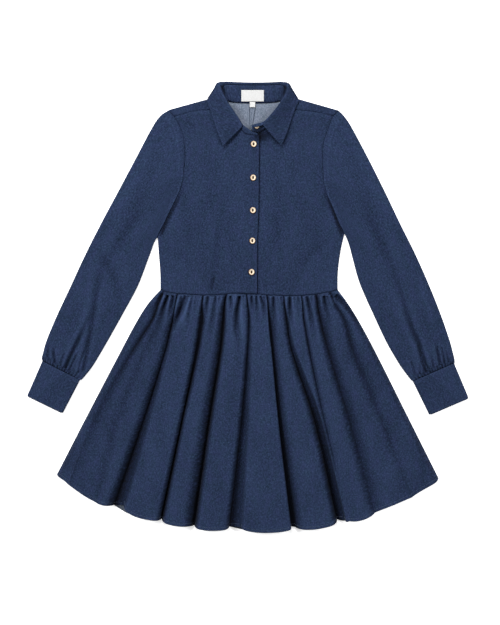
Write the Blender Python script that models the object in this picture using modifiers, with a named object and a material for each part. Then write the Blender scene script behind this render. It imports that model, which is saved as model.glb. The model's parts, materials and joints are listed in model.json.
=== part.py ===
# Denim shirt dress lying on its back, laid flat: buttoned bodice, long sleeves with cuffs, pointed
# collar on a stand and a gathered skirt. Sizes and tables are in millimetres and become metres
# when a mesh is made. X runs from the wearer's right sleeve to the left one, Y from the hem to the
# collar and Z up. The origin lies on the floor under the middle of the dress, and the drawing's
# own zero DRAWING_LIFT below it.

import math
from collections import namedtuple

import bmesh
import bpy
from mathutils import Vector

METRES = 0.001
DRAWING_LIFT = 1.1

# Cloth
CLOTH = 1.3
DOUBLED = 2.0
TRIM = 1.0
SEAM_GAP = 0.3

# Heights of the layers over the floor
SIDE_HEIGHT = 3.2
BODICE_CROWN = 3.3
BODICE_HALF_WIDTH = 172.0
BODICE_MIDDLE = 3.0
LAP_STEP = 1.7
LAP_START = -30.0
LAP_END = -8.5

# Waist seam
WAIST_Y = 23.0
WAIST_SIDE_LIFT = 9.0
WAIST_COLUMNS = 16

# Skirt folds and gathers
FOLD_HEIGHT_WAIST = 3.0
FOLD_HEIGHT_HEM = 21.0
FOLD_ROUNDNESS = 0.85
FOLD_STEEPNESS = 0.55
FOLD_RISE = 0.8
SEAM_SINK = 2.0
SEAM_REACH = 0.25
GATHER_HEIGHT = 2.4
GATHER_LENGTH = 0.09
COLUMNS_PER_GATHER = 3
SKIRT_ROWS = (0.0, 0.025, 0.06, 0.11, 0.18, 0.28, 0.4, 0.54, 0.69, 0.85, 1.0)

# Sleeves and cuffs
SLEEVE_EDGE = 4.6
SLEEVE_CROWN = 1.9
ARMHOLE_GAP = 1.2
CUFF_EDGE = 6.0
CUFF_CROWN = 0.6
CUFF_PUCKERS = 6
PUCKER_HEIGHT = 1.6
PUCKER_LENGTH = 24.0

# Columns across a front, closer together where it laps
FRONT_COLUMNS = (0.0, 0.125, 0.25, 0.375, 0.5, 0.625, 0.75, 0.86, 0.95, 1.0)
ROWS_PER_SECTION = 2

# Buttons
BUTTON_RADIUS = 5.6
BUTTON_THICKNESS = 2.6
BUTTON_STEPS = 16

# Colours
DENIM = (0.028, 0.045, 0.100)
BUTTON_CREAM = (0.62, 0.47, 0.30)
LABEL_WHITE = (0.88, 0.88, 0.87)
CLOTH_ROUGHNESS = 0.92
BUTTON_ROUGHNESS = 0.45

# One row for each line of the skirt, from the wearer's right side to the left one. The first and
# last are the sides, the others are the valleys between the folds. X is given at the seam, a hand's
# breadth below it, at the hip, halfway and at the hem. The depths are shares of the fold's height
# at the waist and at the hem. What follows belongs to the fold after the line: its height as a
# share, its hem's Y, how far it leans to the wearer's left, and the gathers sewn into its top.
Line = namedtuple(
    "Line", "seam top hip middle hem hem_y depth_waist depth_hem crest crest_y lean gathers"
)
TOP_Y, HIP_Y, MIDDLE_Y = 7.0, -85.0, -221.0
SKIRT_LINES = (
    Line(-171.0, -193.0, -246.5, -317.5, -372.5, -328.0, 1.00, 1.00, 0.42, -337.0, 0.0, 2),
    Line(-164.0, -171.5, -224.0, -300.0, -350.0, -346.0, 0.70, 0.45, 0.62, -366.0, 0.0, 2),
    Line(-157.0, -161.0, -200.0, -255.5, -296.0, -379.0, 0.50, 0.45, 0.85, -387.0, 3.0, 2),
    Line(-134.0, -132.5, -162.0, -205.0, -263.0, -387.0, 0.90, 1.00, 1.00, -412.0, 0.0, 3),
    Line(-89.0, -89.5, -101.5, -128.5, -169.5, -414.5, 0.80, 0.95, 1.00, -426.5, 0.0, 4),
    Line(-44.0, -45.0, -54.5, -76.0, -106.5, -427.0, 0.90, 1.00, 1.05, -435.5, 2.5, 3),
    Line(-2.0, -2.0, -2.0, -13.5, -37.0, -429.5, 0.80, 0.80, 1.00, -439.5, 2.5, 4),
    Line(37.0, 37.0, 45.0, 58.5, 84.0, -429.5, 0.95, 1.00, 1.00, -434.0, 1.5, 3),
    Line(69.0, 70.0, 88.0, 128.5, 173.5, -415.5, 0.90, 1.00, 0.95, -418.5, 0.0, 3),
    Line(104.0, 105.5, 119.0, 148.0, 196.0, -417.0, 0.70, 0.05, 1.00, -415.0, 0.0, 2),
    Line(133.0, 134.5, 154.0, 197.0, 246.0, -402.5, 0.70, 0.65, 0.80, -388.5, 0.0, 3),
    Line(164.0, 166.0, 203.0, 259.5, 318.0, -371.5, 0.50, 0.35, 0.50, -355.0, 0.0, 2),
    Line(175.0, 193.0, 245.5, 313.5, 371.0, -335.0, 1.00, 1.00, 0.0, 0.0, 0.0, 0),
)

# Sections across the bodice from the waist to the forward shoulder seam: the side seam and then
# the armhole, and the front edge and then the neck. One table for each front.
Section = namedtuple("Section", "side_x side_y edge_x edge_y")
RIGHT_FRONT = (
    Section(-171.0, 32.0, 17.5, 23.0),
    Section(-171.5, 67.0, 17.5, 65.0),
    Section(-174.5, 106.0, 17.5, 102.0),
    Section(-176.5, 134.5, 18.0, 134.0),
    Section(-166.0, 163.0, 19.5, 163.0),
    Section(-149.0, 198.0, 20.5, 196.0),
    Section(-134.5, 229.0, 21.0, 227.0),
    Section(-126.0, 262.0, 21.0, 260.0),
    Section(-122.5, 293.5, 21.5, 300.0),
    Section(-124.0, 317.0, 22.0, 333.5),
    Section(-127.5, 336.5, -4.0, 336.5),
    Section(-133.5, 354.0, -23.0, 356.0),
    Section(-144.0, 370.5, -41.0, 384.0),
)
LEFT_FRONT = (
    Section(175.0, 32.0, -1.0, 23.0),
    Section(175.5, 67.0, -1.0, 65.0),
    Section(180.5, 106.0, -1.0, 102.0),
    Section(188.0, 142.0, -1.0, 140.0),
    Section(179.5, 165.0, -1.0, 168.0),
    Section(168.0, 194.0, -1.0, 198.0),
    Section(156.0, 221.0, -1.0, 228.0),
    Section(147.5, 254.5, -1.0, 262.0),
    Section(145.0, 286.0, -1.0, 300.0),
    Section(146.0, 309.0, -1.0, 334.0),
    Section(150.0, 328.5, 26.0, 340.0),
    Section(157.0, 350.0, 44.0, 357.0),
    Section(166.0, 371.5, 65.0, 384.0),
)
UNDERARM_ROW = 3

# Forward shoulder seams and the folds of the shoulders, from the armhole to the neck
Plan = namedtuple("Plan", "x y")
RIGHT_SHOULDER_SEAM = (
    Plan(-144.0, 370.5), Plan(-117.0, 378.5), Plan(-98.0, 382.0), Plan(-79.0, 383.0), Plan(-41.0, 384.0)
)
LEFT_SHOULDER_SEAM = (
    Plan(166.0, 371.5), Plan(144.5, 377.0), Plan(128.0, 380.0), Plan(100.0, 383.0), Plan(65.0, 384.0)
)
RIGHT_SHOULDER_FOLD = (Plan(-154.0, 383.5), Plan(-50.5, 411.5))
LEFT_SHOULDER_FOLD = (Plan(176.0, 382.5), Plan(74.0, 411.0))
BACK_NECK = (
    Plan(-50.5, 411.5), Plan(-40.0, 401.5), Plan(-20.0, 398.0), Plan(12.0, 397.0),
    Plan(43.0, 398.0), Plan(63.0, 401.5), Plan(74.0, 411.0),
)
SHOULDER_SEAM_GAP = 0.4
SHOULDER_COLUMNS = 4
NECK_COLUMNS = 8

# Sections along a sleeve from the armhole to the cuff seam: its outer and its inner edge, how much
# of the armhole's curve the section keeps, and how far it has filled out
Ring = namedtuple("Ring", "outer_x outer_y inner_x inner_y curve fill")
RIGHT_SLEEVE = (
    Ring(-155.4, 382.4, -178.0, 133.5, 1.00, 1.0),
    Ring(-171.5, 371.0, -179.5, 131.5, 0.88, 1.0),
    Ring(-187.5, 348.0, -181.5, 128.0, 0.74, 1.0),
    Ring(-220.5, 285.5, -184.5, 122.0, 0.50, 1.0),
    Ring(-253.5, 223.0, -188.5, 111.0, 0.28, 1.0),
    Ring(-286.5, 161.0, -195.0, 94.0, 0.10, 1.0),
    Ring(-318.0, 98.5, -216.0, 40.0, 0.00, 1.0),
    Ring(-347.0, 36.0, -247.5, -18.5, 0.00, 1.0),
    Ring(-372.5, -18.5, -277.0, -71.0, 0.00, 1.0),
    Ring(-392.0, -65.0, -302.5, -114.0, 0.00, 1.1),
    Ring(-399.0, -89.0, -317.0, -133.0, 0.00, 1.1),
    Ring(-402.0, -101.0, -325.0, -142.0, 0.00, 1.0),
    Ring(-401.0, -106.0, -328.5, -143.2, 0.00, 0.8),
)
LEFT_SLEEVE = (
    Ring(177.4, 381.4, 189.8, 136.5, 1.00, 1.0),
    Ring(188.0, 370.5, 191.4, 134.5, 0.88, 1.0),
    Ring(203.0, 348.0, 193.0, 131.0, 0.74, 1.0),
    Ring(236.0, 285.5, 195.2, 124.5, 0.50, 1.0),
    Ring(267.0, 223.0, 197.6, 113.0, 0.28, 1.0),
    Ring(296.5, 161.0, 199.5, 108.0, 0.10, 1.0),
    Ring(327.5, 98.5, 219.0, 45.5, 0.00, 1.0),
    Ring(355.0, 36.0, 246.5, -17.0, 0.00, 1.0),
    Ring(376.5, -18.5, 271.0, -69.0, 0.00, 1.0),
    Ring(392.5, -65.0, 296.0, -112.0, 0.00, 1.1),
    Ring(399.0, -89.0, 311.0, -133.0, 0.00, 1.1),
    Ring(402.5, -104.0, 319.0, -143.0, 0.00, 1.0),
    Ring(402.5, -110.0, 322.0, -145.2, 0.00, 0.8),
)
RIGHT_CUFF = (Ring(-401.2, -106.5, -328.3, -143.8, 0, 1), Ring(-430.5, -173.0, -361.0, -207.0, 0, 1))
LEFT_CUFF = (Ring(402.5, -110.8, 321.8, -146.0, 0, 1), Ring(430.5, -177.5, 353.5, -210.5, 0, 1))
RING_TOP = 18
RING_BOTTOM = 9
RING_END = 4
CUFF_ROWS = 3

# Sections round the collar stand, from its end on the wearer's right front, round the back, to its
# end on the left front: the neck seam and the top edge.
# The points are on the face that lies against the neck.
Band = namedtuple("Band", "seam_x seam_y seam_z top_x top_y top_z")
STAND = (
    Band(19.5, 335.4, 8.6, 16.5, 338.0, 8.8),
    Band(12.5, 335.8, 8.6, 9.0, 340.5, 9.4),
    Band(3.0, 336.6, 8.6, 2.0, 345.5, 10.2),
    Band(-5.0, 338.2, 8.5, -4.0, 349.5, 10.8),
    Band(-13.0, 346.5, 8.0, -10.5, 355.0, 11.2),
    Band(-24.0, 361.5, 7.4, -17.5, 366.5, 11.5),
    Band(-33.5, 377.5, 7.0, -27.5, 381.5, 11.5),
    Band(-41.0, 393.0, 6.9, -38.0, 397.5, 11.3),
    Band(-42.5, 401.0, 5.2, -46.0, 414.0, 10.4),
    Band(-38.5, 402.0, 4.0, -48.5, 427.5, 8.8),
    Band(-30.0, 400.0, 3.7, -41.0, 432.0, 8.0),
    Band(-12.0, 398.6, 3.7, -18.0, 432.5, 8.0),
    Band(12.0, 398.2, 3.7, 12.0, 432.5, 8.0),
    Band(36.0, 398.6, 3.7, 42.0, 432.5, 8.0),
    Band(54.0, 400.0, 3.7, 62.0, 432.0, 8.0),
    Band(62.0, 402.0, 4.0, 70.5, 427.0, 8.6),
    Band(66.5, 401.0, 5.2, 70.0, 414.0, 10.4),
    Band(65.0, 393.0, 6.9, 62.0, 397.5, 11.3),
    Band(57.5, 377.5, 7.0, 50.5, 381.5, 11.3),
    Band(45.0, 360.0, 7.0, 37.5, 366.5, 10.6),
    Band(33.0, 347.5, 6.9, 27.5, 358.5, 8.4),
    Band(22.5, 341.5, 6.9, 19.5, 356.5, 8.2),
    Band(8.0, 342.0, 6.9, 7.0, 353.0, 8.2),
)
STAND_ROWS = 4

# Sections round the collar, from the front edge of the right leaf, round the back, to that of the
# left leaf: the roll line on the stand's top edge, the free edge, and whether it is tucked under
Fall = namedtuple("Fall", "roll_x roll_y roll_z free_x free_y tucked")
COLLAR = (
    Fall(-12.5, 349.0, 14.6, -48.5, 312.5, 0.0),
    Fall(-18.5, 365.0, 15.4, -56.5, 331.5, 0.0),
    Fall(-29.0, 381.5, 15.6, -64.0, 353.0, 0.0),
    Fall(-40.0, 397.0, 15.4, -71.0, 376.0, 0.0),
    Fall(-49.0, 414.0, 14.2, -76.5, 393.0, 0.0),
    Fall(-54.5, 428.5, 12.4, -79.5, 401.5, 0.0),
    Fall(-53.5, 431.3, 11.5, -68.0, 416.0, 0.5),
    Fall(-49.0, 432.8, 10.7, -54.0, 425.0, 1.0),
    Fall(-36.0, 433.0, 10.5, -40.0, 418.0, 1.0),
    Fall(-14.0, 432.8, 10.5, -16.0, 408.0, 1.0),
    Fall(12.0, 432.5, 10.5, 12.0, 408.0, 1.0),
    Fall(38.0, 432.2, 10.5, 40.0, 408.0, 1.0),
    Fall(60.0, 432.0, 10.5, 64.0, 418.0, 1.0),
    Fall(73.0, 431.8, 10.7, 78.0, 424.0, 1.0),
    Fall(77.2, 430.0, 11.5, 90.0, 415.5, 0.5),
    Fall(78.0, 426.5, 12.4, 98.5, 401.0, 0.0),
    Fall(73.0, 412.5, 14.2, 95.0, 393.0, 0.0),
    Fall(63.0, 397.0, 15.4, 88.5, 376.0, 0.0),
    Fall(51.5, 381.5, 15.6, 80.5, 353.0, 0.0),
    Fall(38.0, 366.5, 15.0, 73.0, 331.5, 0.0),
    Fall(28.5, 353.5, 14.2, 64.5, 313.0, 0.0),
)
COLLAR_ROWS = 11
TUCK_SHARE = 0.45
TUCK_RADIUS = 5.0
LEAF_CLEARANCE = 0.9
NECK_MIDDLE = Plan(12.0, 400.0)

# Buttons down the right front, from the collar to the waist
BUTTONS = (Plan(11.0, 316.5), Plan(10.0, 251.0), Plan(9.5, 187.5), Plan(8.5, 128.0), Plan(7.0, 67.0))
STAND_BUTTON = Plan(15.2, 348.0)
STAND_BUTTON_HEIGHT = 10.6

# Neck label and the tab below it
Strip = namedtuple("Strip", "left right bottom top")
LABEL = Strip(-13.0, 31.0, 400.0, 422.0)
SIZE_TAB = Strip(3.5, 14.0, 389.0, 399.2)


def blend(a, b, share):
    return a + (b - a) * share


def ease(share):
    share = max(0.0, min(1.0, share))
    return share * share * (3 - 2 * share)


def flat(plan, height=0.0):
    return Vector((plan.x, plan.y, height))


def along(points, share):
    # Straight from point to point, each stretch taking an equal share
    place = share * (len(points) - 1)
    first = min(int(place), len(points) - 2)
    return blend(points[first], points[first + 1], place - first)


def curve_at(places, values, place):
    # A smooth curve through a few values at uneven places, read at one of them
    def slope(i):
        low, high = max(i - 1, 0), min(i + 1, len(places) - 1)
        return (values[high] - values[low]) / (places[high] - places[low])

    i = 0
    while i < len(places) - 2 and (place - places[i + 1]) * (places[i + 1] - places[0]) > 0:
        i += 1
    span = places[i + 1] - places[i]
    t = (place - places[i]) / span
    start = (2 * t**3 - 3 * t**2 + 1) * values[i] + (t**3 - 2 * t**2 + t) * span * slope(i)
    end = (3 * t**2 - 2 * t**3) * values[i + 1] + (t**3 - t**2) * span * slope(i + 1)
    return start + end


def patch(bottom, top, left, right, u, v):
    # A point of the surface between four edges, each a list of points
    across = blend(along(bottom, u), along(top, u), v)
    up = blend(along(left, v), along(right, v), u)
    corners = blend(blend(bottom[0], bottom[-1], u), blend(top[0], top[-1], u), v)
    return across + up - corners


def material(name, colour, roughness):
    made = bpy.data.materials.new(name)
    made.use_nodes = True
    shader = made.node_tree.nodes["Principled BSDF"]
    shader.inputs["Base Color"].default_value = (*colour, 1.0)
    shader.inputs["Roughness"].default_value = roughness
    shader.inputs["Metallic"].default_value = 0.0
    return made


def add_object(name, mesh, colour, roughness):
    mesh.materials.append(material(name, colour, roughness))
    made = bpy.data.objects.new(name, mesh)
    dress_parts.objects.link(made)
    made.parent = dress_root
    return made


def sheet(name, patches, thickness, colour=DENIM, closed=False, flip=False):
    # A cloth wall behind the outer faces of one or more grids of points
    shape = bmesh.new()
    for rows in patches:
        grid = [[shape.verts.new(point * METRES) for point in row] for row in rows]
        for low, high in zip(grid, grid[1:]):
            count = len(low)
            for j in range(count if closed else count - 1):
                k = (j + 1) % count
                corners = (low[j], low[k], high[k], high[j])
                shape.faces.new(corners[::-1] if flip else corners)
    bmesh.ops.remove_doubles(shape, verts=shape.verts, dist=1e-6)
    mesh = bpy.data.meshes.new(name)
    shape.to_mesh(mesh)
    shape.free()
    mesh.shade_smooth()
    made = add_object(name, mesh, colour, CLOTH_ROUGHNESS)
    wall = made.modifiers.new("Wall", "SOLIDIFY")
    wall.thickness = thickness * METRES
    wall.offset = -1.0
    return made


def waist_y(x):
    return WAIST_Y + WAIST_SIDE_LIFT * abs((x - BODICE_MIDDLE) / BODICE_HALF_WIDTH) ** 8


def body_top(x):
    # Height of the bodice front: highest over the middle and low at the sides
    share = min(1.0, abs(x - BODICE_MIDDLE) / BODICE_HALF_WIDTH)
    return SIDE_HEIGHT + BODICE_CROWN * (1 - share**2.5)


def lap_top(x):
    # Height of the right front, which steps up where it lies on the left front
    return body_top(x) + LAP_STEP * ease((x - LAP_START) / (LAP_END - LAP_START))


def line_x(line, y):
    places = (waist_y(line.seam), TOP_Y, HIP_Y, MIDDLE_Y, line.hem_y)
    return curve_at(places, (line.seam, line.top, line.hip, line.middle, line.hem), y)


def skirt_point(k, f, v):
    # The top of the cloth between skirt lines k and k + 1, at share f across and v down
    first, second = SKIRT_LINES[k], SKIRT_LINES[k + 1]
    arch = math.sin(math.pi * f) ** FOLD_ROUNDNESS if 0 < f < 1 else 0.0
    across = blend(f, (1 - math.cos(math.pi * f)) / 2, FOLD_STEEPNESS * v)
    seam_y = waist_y(blend(first.seam, second.seam, across)) - SEAM_GAP / 2
    hem_y = blend(first.hem_y, second.hem_y, f)
    hem_y += (first.crest_y - (first.hem_y + second.hem_y) / 2) * arch
    y = blend(seam_y, hem_y, v)
    first_y = blend(waist_y(first.seam), first.hem_y, v)
    second_y = blend(waist_y(second.seam), second.hem_y, v)
    x = blend(line_x(first, first_y), line_x(second, second_y), across) + first.lean * arch * v
    rise = blend(FOLD_HEIGHT_WAIST, FOLD_HEIGHT_HEM, v**FOLD_RISE)
    low = blend(
        1 - blend(first.depth_waist, first.depth_hem, v),
        1 - blend(second.depth_waist, second.depth_hem, v),
        across,
    )
    seam_z = max(SIDE_HEIGHT, body_top(x) - SEAM_SINK)
    floor = blend(seam_z, SIDE_HEIGHT, min(1.0, v / SEAM_REACH))
    gather = GATHER_HEIGHT * math.exp(-v / GATHER_LENGTH) * abs(math.sin(math.pi * first.gathers * f))
    return Vector((x, y, floor + rise * (low + (first.crest - low) * arch) + gather))


def skirt_front():
    rows = []
    for v in reversed(SKIRT_ROWS):
        row = [skirt_point(0, 0.0, v)]
        for k, line in enumerate(SKIRT_LINES[:-1]):
            columns = COLUMNS_PER_GATHER * line.gathers
            row += [skirt_point(k, (j + 1) / columns, v) for j in range(columns)]
        rows.append(row)
    return sheet("skirt_front", [rows], CLOTH)


def skirt_back():
    rows = []
    for v in (1.0, 0.75, 0.5, 0.25, 0.1, 0.04, 0.0):
        row = []
        for k in range(len(SKIRT_LINES) - 1):
            row += [skirt_point(k, 0.0, v), skirt_point(k, 0.5, v)]
        row.append(skirt_point(len(SKIRT_LINES) - 2, 1.0, v))
        rows.append([Vector((point.x, point.y, 0.0)) for point in row])
    return sheet("skirt_back", [rows], CLOTH, flip=True)


def side_line(sections):
    # The side seam and then the armhole, each a smooth curve, from the waist seam up
    points = [Vector((row.side_x, row.side_y, 0)) for row in sections]
    points[0].y = waist_y(points[0].x) + SEAM_GAP / 2
    line = []
    for part in (points[: UNDERARM_ROW + 1], points[UNDERARM_ROW:]):
        places = range(len(part))
        count = ROWS_PER_SECTION * places[-1]
        line = line[:-1] + [curve_at(places, part, i / ROWS_PER_SECTION) for i in range(count + 1)]
    return line


def front(name, sections, shoulder, height, flip):
    side = side_line(sections)
    edge = [Vector((row.edge_x, row.edge_y, 0)) for row in sections]
    edge[0].y = waist_y(edge[0].x) + SEAM_GAP / 2
    waist = [blend(side[0], edge[0], j / WAIST_COLUMNS) for j in range(WAIST_COLUMNS + 1)]
    for point in waist:
        point.y = waist_y(point.x) + SEAM_GAP / 2
    top = [flat(plan) for plan in shoulder]
    rows = []
    for i in range(len(side)):
        v = i / (len(side) - 1)
        row = [patch(waist, top, side, edge, u, v) for u in FRONT_COLUMNS]
        for point in row:
            point.z = height(point.x)
        rows.append(row)
    return sheet(name, [rows], CLOTH, flip=flip)


def away(fold):
    # The direction across a shoulder's fold, away from the waist
    line = flat(fold[1]) - flat(fold[0])
    return Vector((-abs(line.y) * math.copysign(1, line.x), abs(line.x), 0)).normalized()


def shoulder_strip(fold_row, seam, outward):
    # Rows that take the back's shoulder edge round the fold and down to the forward seam
    seam_points = [flat(plan) for plan in seam]
    radii = [body_top(point.x) / 2 for point in fold_row]
    rows = [fold_row]
    for angle in (45, 90, 135, 180):
        turn = math.radians(angle)
        rows.append(
            [
                point + outward * r * math.sin(turn) + Vector((0, 0, r * (1 - math.cos(turn))))
                for point, r in zip(fold_row, radii)
            ]
        )
    for share in (0.5, 1.0):
        row = []
        for j, point in enumerate(rows[4]):
            end = along(seam_points, j / (len(fold_row) - 1)) + Vector((0, SHOULDER_SEAM_GAP, 0))
            end.z = body_top(end.x)
            row.append(blend(point, end, share))
        rows.append(row)
    return rows


def bodice_back():
    # The fold line is set in by its own radius, so that the rounded fold reaches the outline
    outward_right = away(RIGHT_SHOULDER_FOLD)
    outward_left = away(LEFT_SHOULDER_FOLD)
    right_fold = [flat(plan) - outward_right * body_top(plan.x) / 2 for plan in RIGHT_SHOULDER_FOLD]
    left_fold = [flat(plan) - outward_left * body_top(plan.x) / 2 for plan in LEFT_SHOULDER_FOLD]
    neck = [right_fold[1]] + [flat(plan) for plan in BACK_NECK[1:-1]] + [left_fold[1]]
    shoulder_steps = [j / SHOULDER_COLUMNS for j in range(SHOULDER_COLUMNS + 1)]
    top = [along(right_fold, u) for u in shoulder_steps]
    top += [along(neck, j / NECK_COLUMNS) for j in range(1, NECK_COLUMNS)]
    top += [along(left_fold, 1 - u) for u in shoulder_steps]
    columns = len(top) - 1
    side_right = side_line(RIGHT_FRONT) + [top[0]]
    side_left = side_line(LEFT_FRONT) + [top[-1]]
    waist = [blend(side_right[0], side_left[0], j / columns) for j in range(columns + 1)]
    for point in waist:
        point.y = waist_y(point.x) + SEAM_GAP / 2
    rows = []
    for i in range(len(side_right)):
        v = i / (len(side_right) - 1)
        rows.append([patch(waist, top, side_right, side_left, j / columns, v) for j in range(columns + 1)])
    right_strip = shoulder_strip(rows[-1][: SHOULDER_COLUMNS + 1], RIGHT_SHOULDER_SEAM, outward_right)
    left_strip = shoulder_strip(rows[-1][: -SHOULDER_COLUMNS - 2 : -1], LEFT_SHOULDER_SEAM, outward_left)
    left_strip = [row[::-1] for row in left_strip]
    return sheet("bodice_back", [rows, right_strip, left_strip], CLOTH, flip=True)


def tube_ring(ring, curve, edge, crown, puckers):
    # Points round a flattened tube: flat on the floor, with round edges and a low crown
    outer = Vector((ring.outer_x, ring.outer_y, 0))
    inner = Vector((ring.inner_x, ring.inner_y, 0))
    width = (inner - outer).length
    radius = edge * ring.fill / 2
    margin = radius / width

    def at(share, height):
        point = blend(outer, inner, share) + curve(share) * ring.curve
        point.z = height
        return point

    ring_points = []
    for j in range(RING_END + 1):
        turn = math.pi * (j / RING_END - 0.5)
        ring_points.append(at(margin * (1 - math.cos(turn)), radius * (1 + math.sin(turn))))
    for j in range(1, RING_TOP + 1):
        share = j / (RING_TOP + 1)
        height = 2 * radius + crown * ring.fill * math.sin(math.pi * share)
        height += puckers * abs(math.sin(math.pi * CUFF_PUCKERS * share))
        ring_points.append(at(blend(margin, 1 - margin, share), height))
    for j in range(RING_END + 1):
        turn = math.pi * (0.5 - j / RING_END)
        ring_points.append(at(1 - margin * (1 - math.cos(turn)), radius * (1 + math.sin(turn))))
    for j in range(1, RING_BOTTOM + 1):
        share = 1 - j / (RING_BOTTOM + 1)
        ring_points.append(at(blend(margin, 1 - margin, share), 0.0))
    return ring_points


def sleeve(name, rings, sections, flip):
    armhole = side_line(sections)[: ROWS_PER_SECTION * UNDERARM_ROW - 1 : -1]
    first = Vector((rings[0].outer_x, rings[0].outer_y, 0))
    last = Vector((rings[0].inner_x, rings[0].inner_y, 0))
    outside = Vector((math.copysign(ARMHOLE_GAP, rings[0].inner_x), 0, 0))
    line = [first] + [point + outside for point in armhole[:-1]] + [last]

    def curve(share):
        return along(line, share) - blend(first, last, share)

    seam = rings[-1]
    end = Vector((seam.outer_x + seam.inner_x, seam.outer_y + seam.inner_y, 0)) / 2
    rows = []
    for ring in rings:
        middle = Vector((ring.outer_x + ring.inner_x, ring.outer_y + ring.inner_y, 0)) / 2
        puckers = PUCKER_HEIGHT * math.exp(-(middle - end).length / PUCKER_LENGTH)
        rows.append(tube_ring(ring, curve, SLEEVE_EDGE, SLEEVE_CROWN, puckers))
    return sheet(name, [rows], CLOTH, closed=True, flip=flip)


def cuff(name, ends, flip):
    rows = []
    for i in range(CUFF_ROWS + 1):
        ring = Ring(*(blend(a, b, i / CUFF_ROWS) for a, b in zip(*ends)))
        rows.append(tube_ring(ring, lambda share: Vector(), CUFF_EDGE, CUFF_CROWN, 0.0))
    return sheet(name, [rows], DOUBLED, closed=True, flip=flip)


def collar_stand():
    # From the neck seam to the top edge, on the face that lies against the neck
    rows = []
    for i in range(STAND_ROWS + 1):
        row = []
        for band in STAND:
            seam = Vector((band.seam_x, band.seam_y, band.seam_z))
            top = Vector((band.top_x, band.top_y, band.top_z))
            row.append(blend(seam, top, i / STAND_ROWS))
        rows.append(row)
    return sheet("collar_stand", [rows], DOUBLED)


def fall_point(fall, t):
    # A point of the collar's outer face, t from the roll line to the free edge
    roll = Vector((fall.roll_x, fall.roll_y, 0))
    free = Vector((fall.free_x, fall.free_y, 0))
    leaf = blend(roll, free, t)
    free_z = body_top(free.x) + DOUBLED + LEAF_CLEARANCE
    leaf.z = blend(fall.roll_z, free_z, (1 - math.cos(math.pi * t**0.8)) / 2)
    turn = math.pi * min(1.0, t / TUCK_SHARE)
    under = blend(roll, free, max(0.0, (t - TUCK_SHARE) / (1 - TUCK_SHARE)))
    under += (roll - flat(NECK_MIDDLE)).normalized() * TUCK_RADIUS * math.sin(turn)
    under.z = fall.roll_z * (1 + math.cos(turn)) / 2
    return blend(leaf, under, fall.tucked)


def collar():
    rows = [[fall_point(fall, i / COLLAR_ROWS) for fall in COLLAR] for i in range(COLLAR_ROWS + 1)]
    return sheet("collar", [rows], DOUBLED)


def button(name, place):
    # A turned disc with a raised rim and a dished middle
    r, t = BUTTON_RADIUS, BUTTON_THICKNESS
    profile = (
        (0.0, 0.72 * t), (0.55 * r, 0.75 * t), (0.68 * r, t), (0.9 * r, t),
        (r, 0.72 * t), (r, 0.4 * t), (0.8 * r, 0.0), (0.0, 0.0),
    )
    mesh = bpy.data.meshes.new(name)
    points = [(x * METRES, 0.0, z * METRES) for x, z in profile]
    mesh.from_pydata(points, [(i, i + 1) for i in range(len(points) - 1)], [])
    made = add_object(name, mesh, BUTTON_CREAM, BUTTON_ROUGHNESS)
    made.location = place * METRES
    turn = made.modifiers.new("Turn", "SCREW")
    turn.angle = math.tau
    turn.steps = BUTTON_STEPS
    turn.render_steps = BUTTON_STEPS
    turn.use_merge_vertices = True
    turn.merge_threshold = 1e-5
    return made


def neck_label(name, strip, clearance):
    # A label lying on the stand's inner face and, below the seam, on the inside of the back
    def height(y):
        first, last = STAND[len(STAND) // 2 + 1], STAND[len(STAND) // 2]
        share = (y - first.seam_y) / (last.top_y - first.seam_y)
        return blend(first.seam_z, last.top_z, share) if share > 0 else first.seam_z

    rows = []
    for i in range(5):
        y = blend(strip.bottom, strip.top, i / 4)
        rows.append([Vector((x, y, height(y) + clearance + TRIM)) for x in (strip.left, strip.right)])
    return sheet(name, [rows], TRIM, LABEL_WHITE)


for old in list(bpy.data.objects):
    bpy.data.objects.remove(old)

dress_parts = bpy.data.collections.new("Denim dress")
bpy.context.scene.collection.children.link(dress_parts)
dress_root = bpy.data.objects.new("Dress origin", None)
dress_root.location.y = DRAWING_LIFT * METRES
dress_parts.objects.link(dress_root)

skirt_back()
skirt_front()
bodice_back()
front("bodice_front_right", RIGHT_FRONT, RIGHT_SHOULDER_SEAM, lap_top, False)
front("bodice_front_left", LEFT_FRONT, LEFT_SHOULDER_SEAM, body_top, True)
sleeve("sleeve_right", RIGHT_SLEEVE, RIGHT_FRONT, True)
sleeve("sleeve_left", LEFT_SLEEVE, LEFT_FRONT, False)
cuff("cuff_right", RIGHT_CUFF, True)
cuff("cuff_left", LEFT_CUFF, False)
collar_stand()
collar()
for number, plan in enumerate(BUTTONS, 1):
    button(f"button_{number}", flat(plan, lap_top(plan.x) + SEAM_GAP))
button("button_stand", flat(STAND_BUTTON, STAND_BUTTON_HEIGHT))
neck_label("label", LABEL, SEAM_GAP)
neck_label("size_tab", SIZE_TAB, SEAM_GAP)
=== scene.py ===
import json
import math

import bpy
import numpy as np
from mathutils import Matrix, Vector, noise

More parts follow.
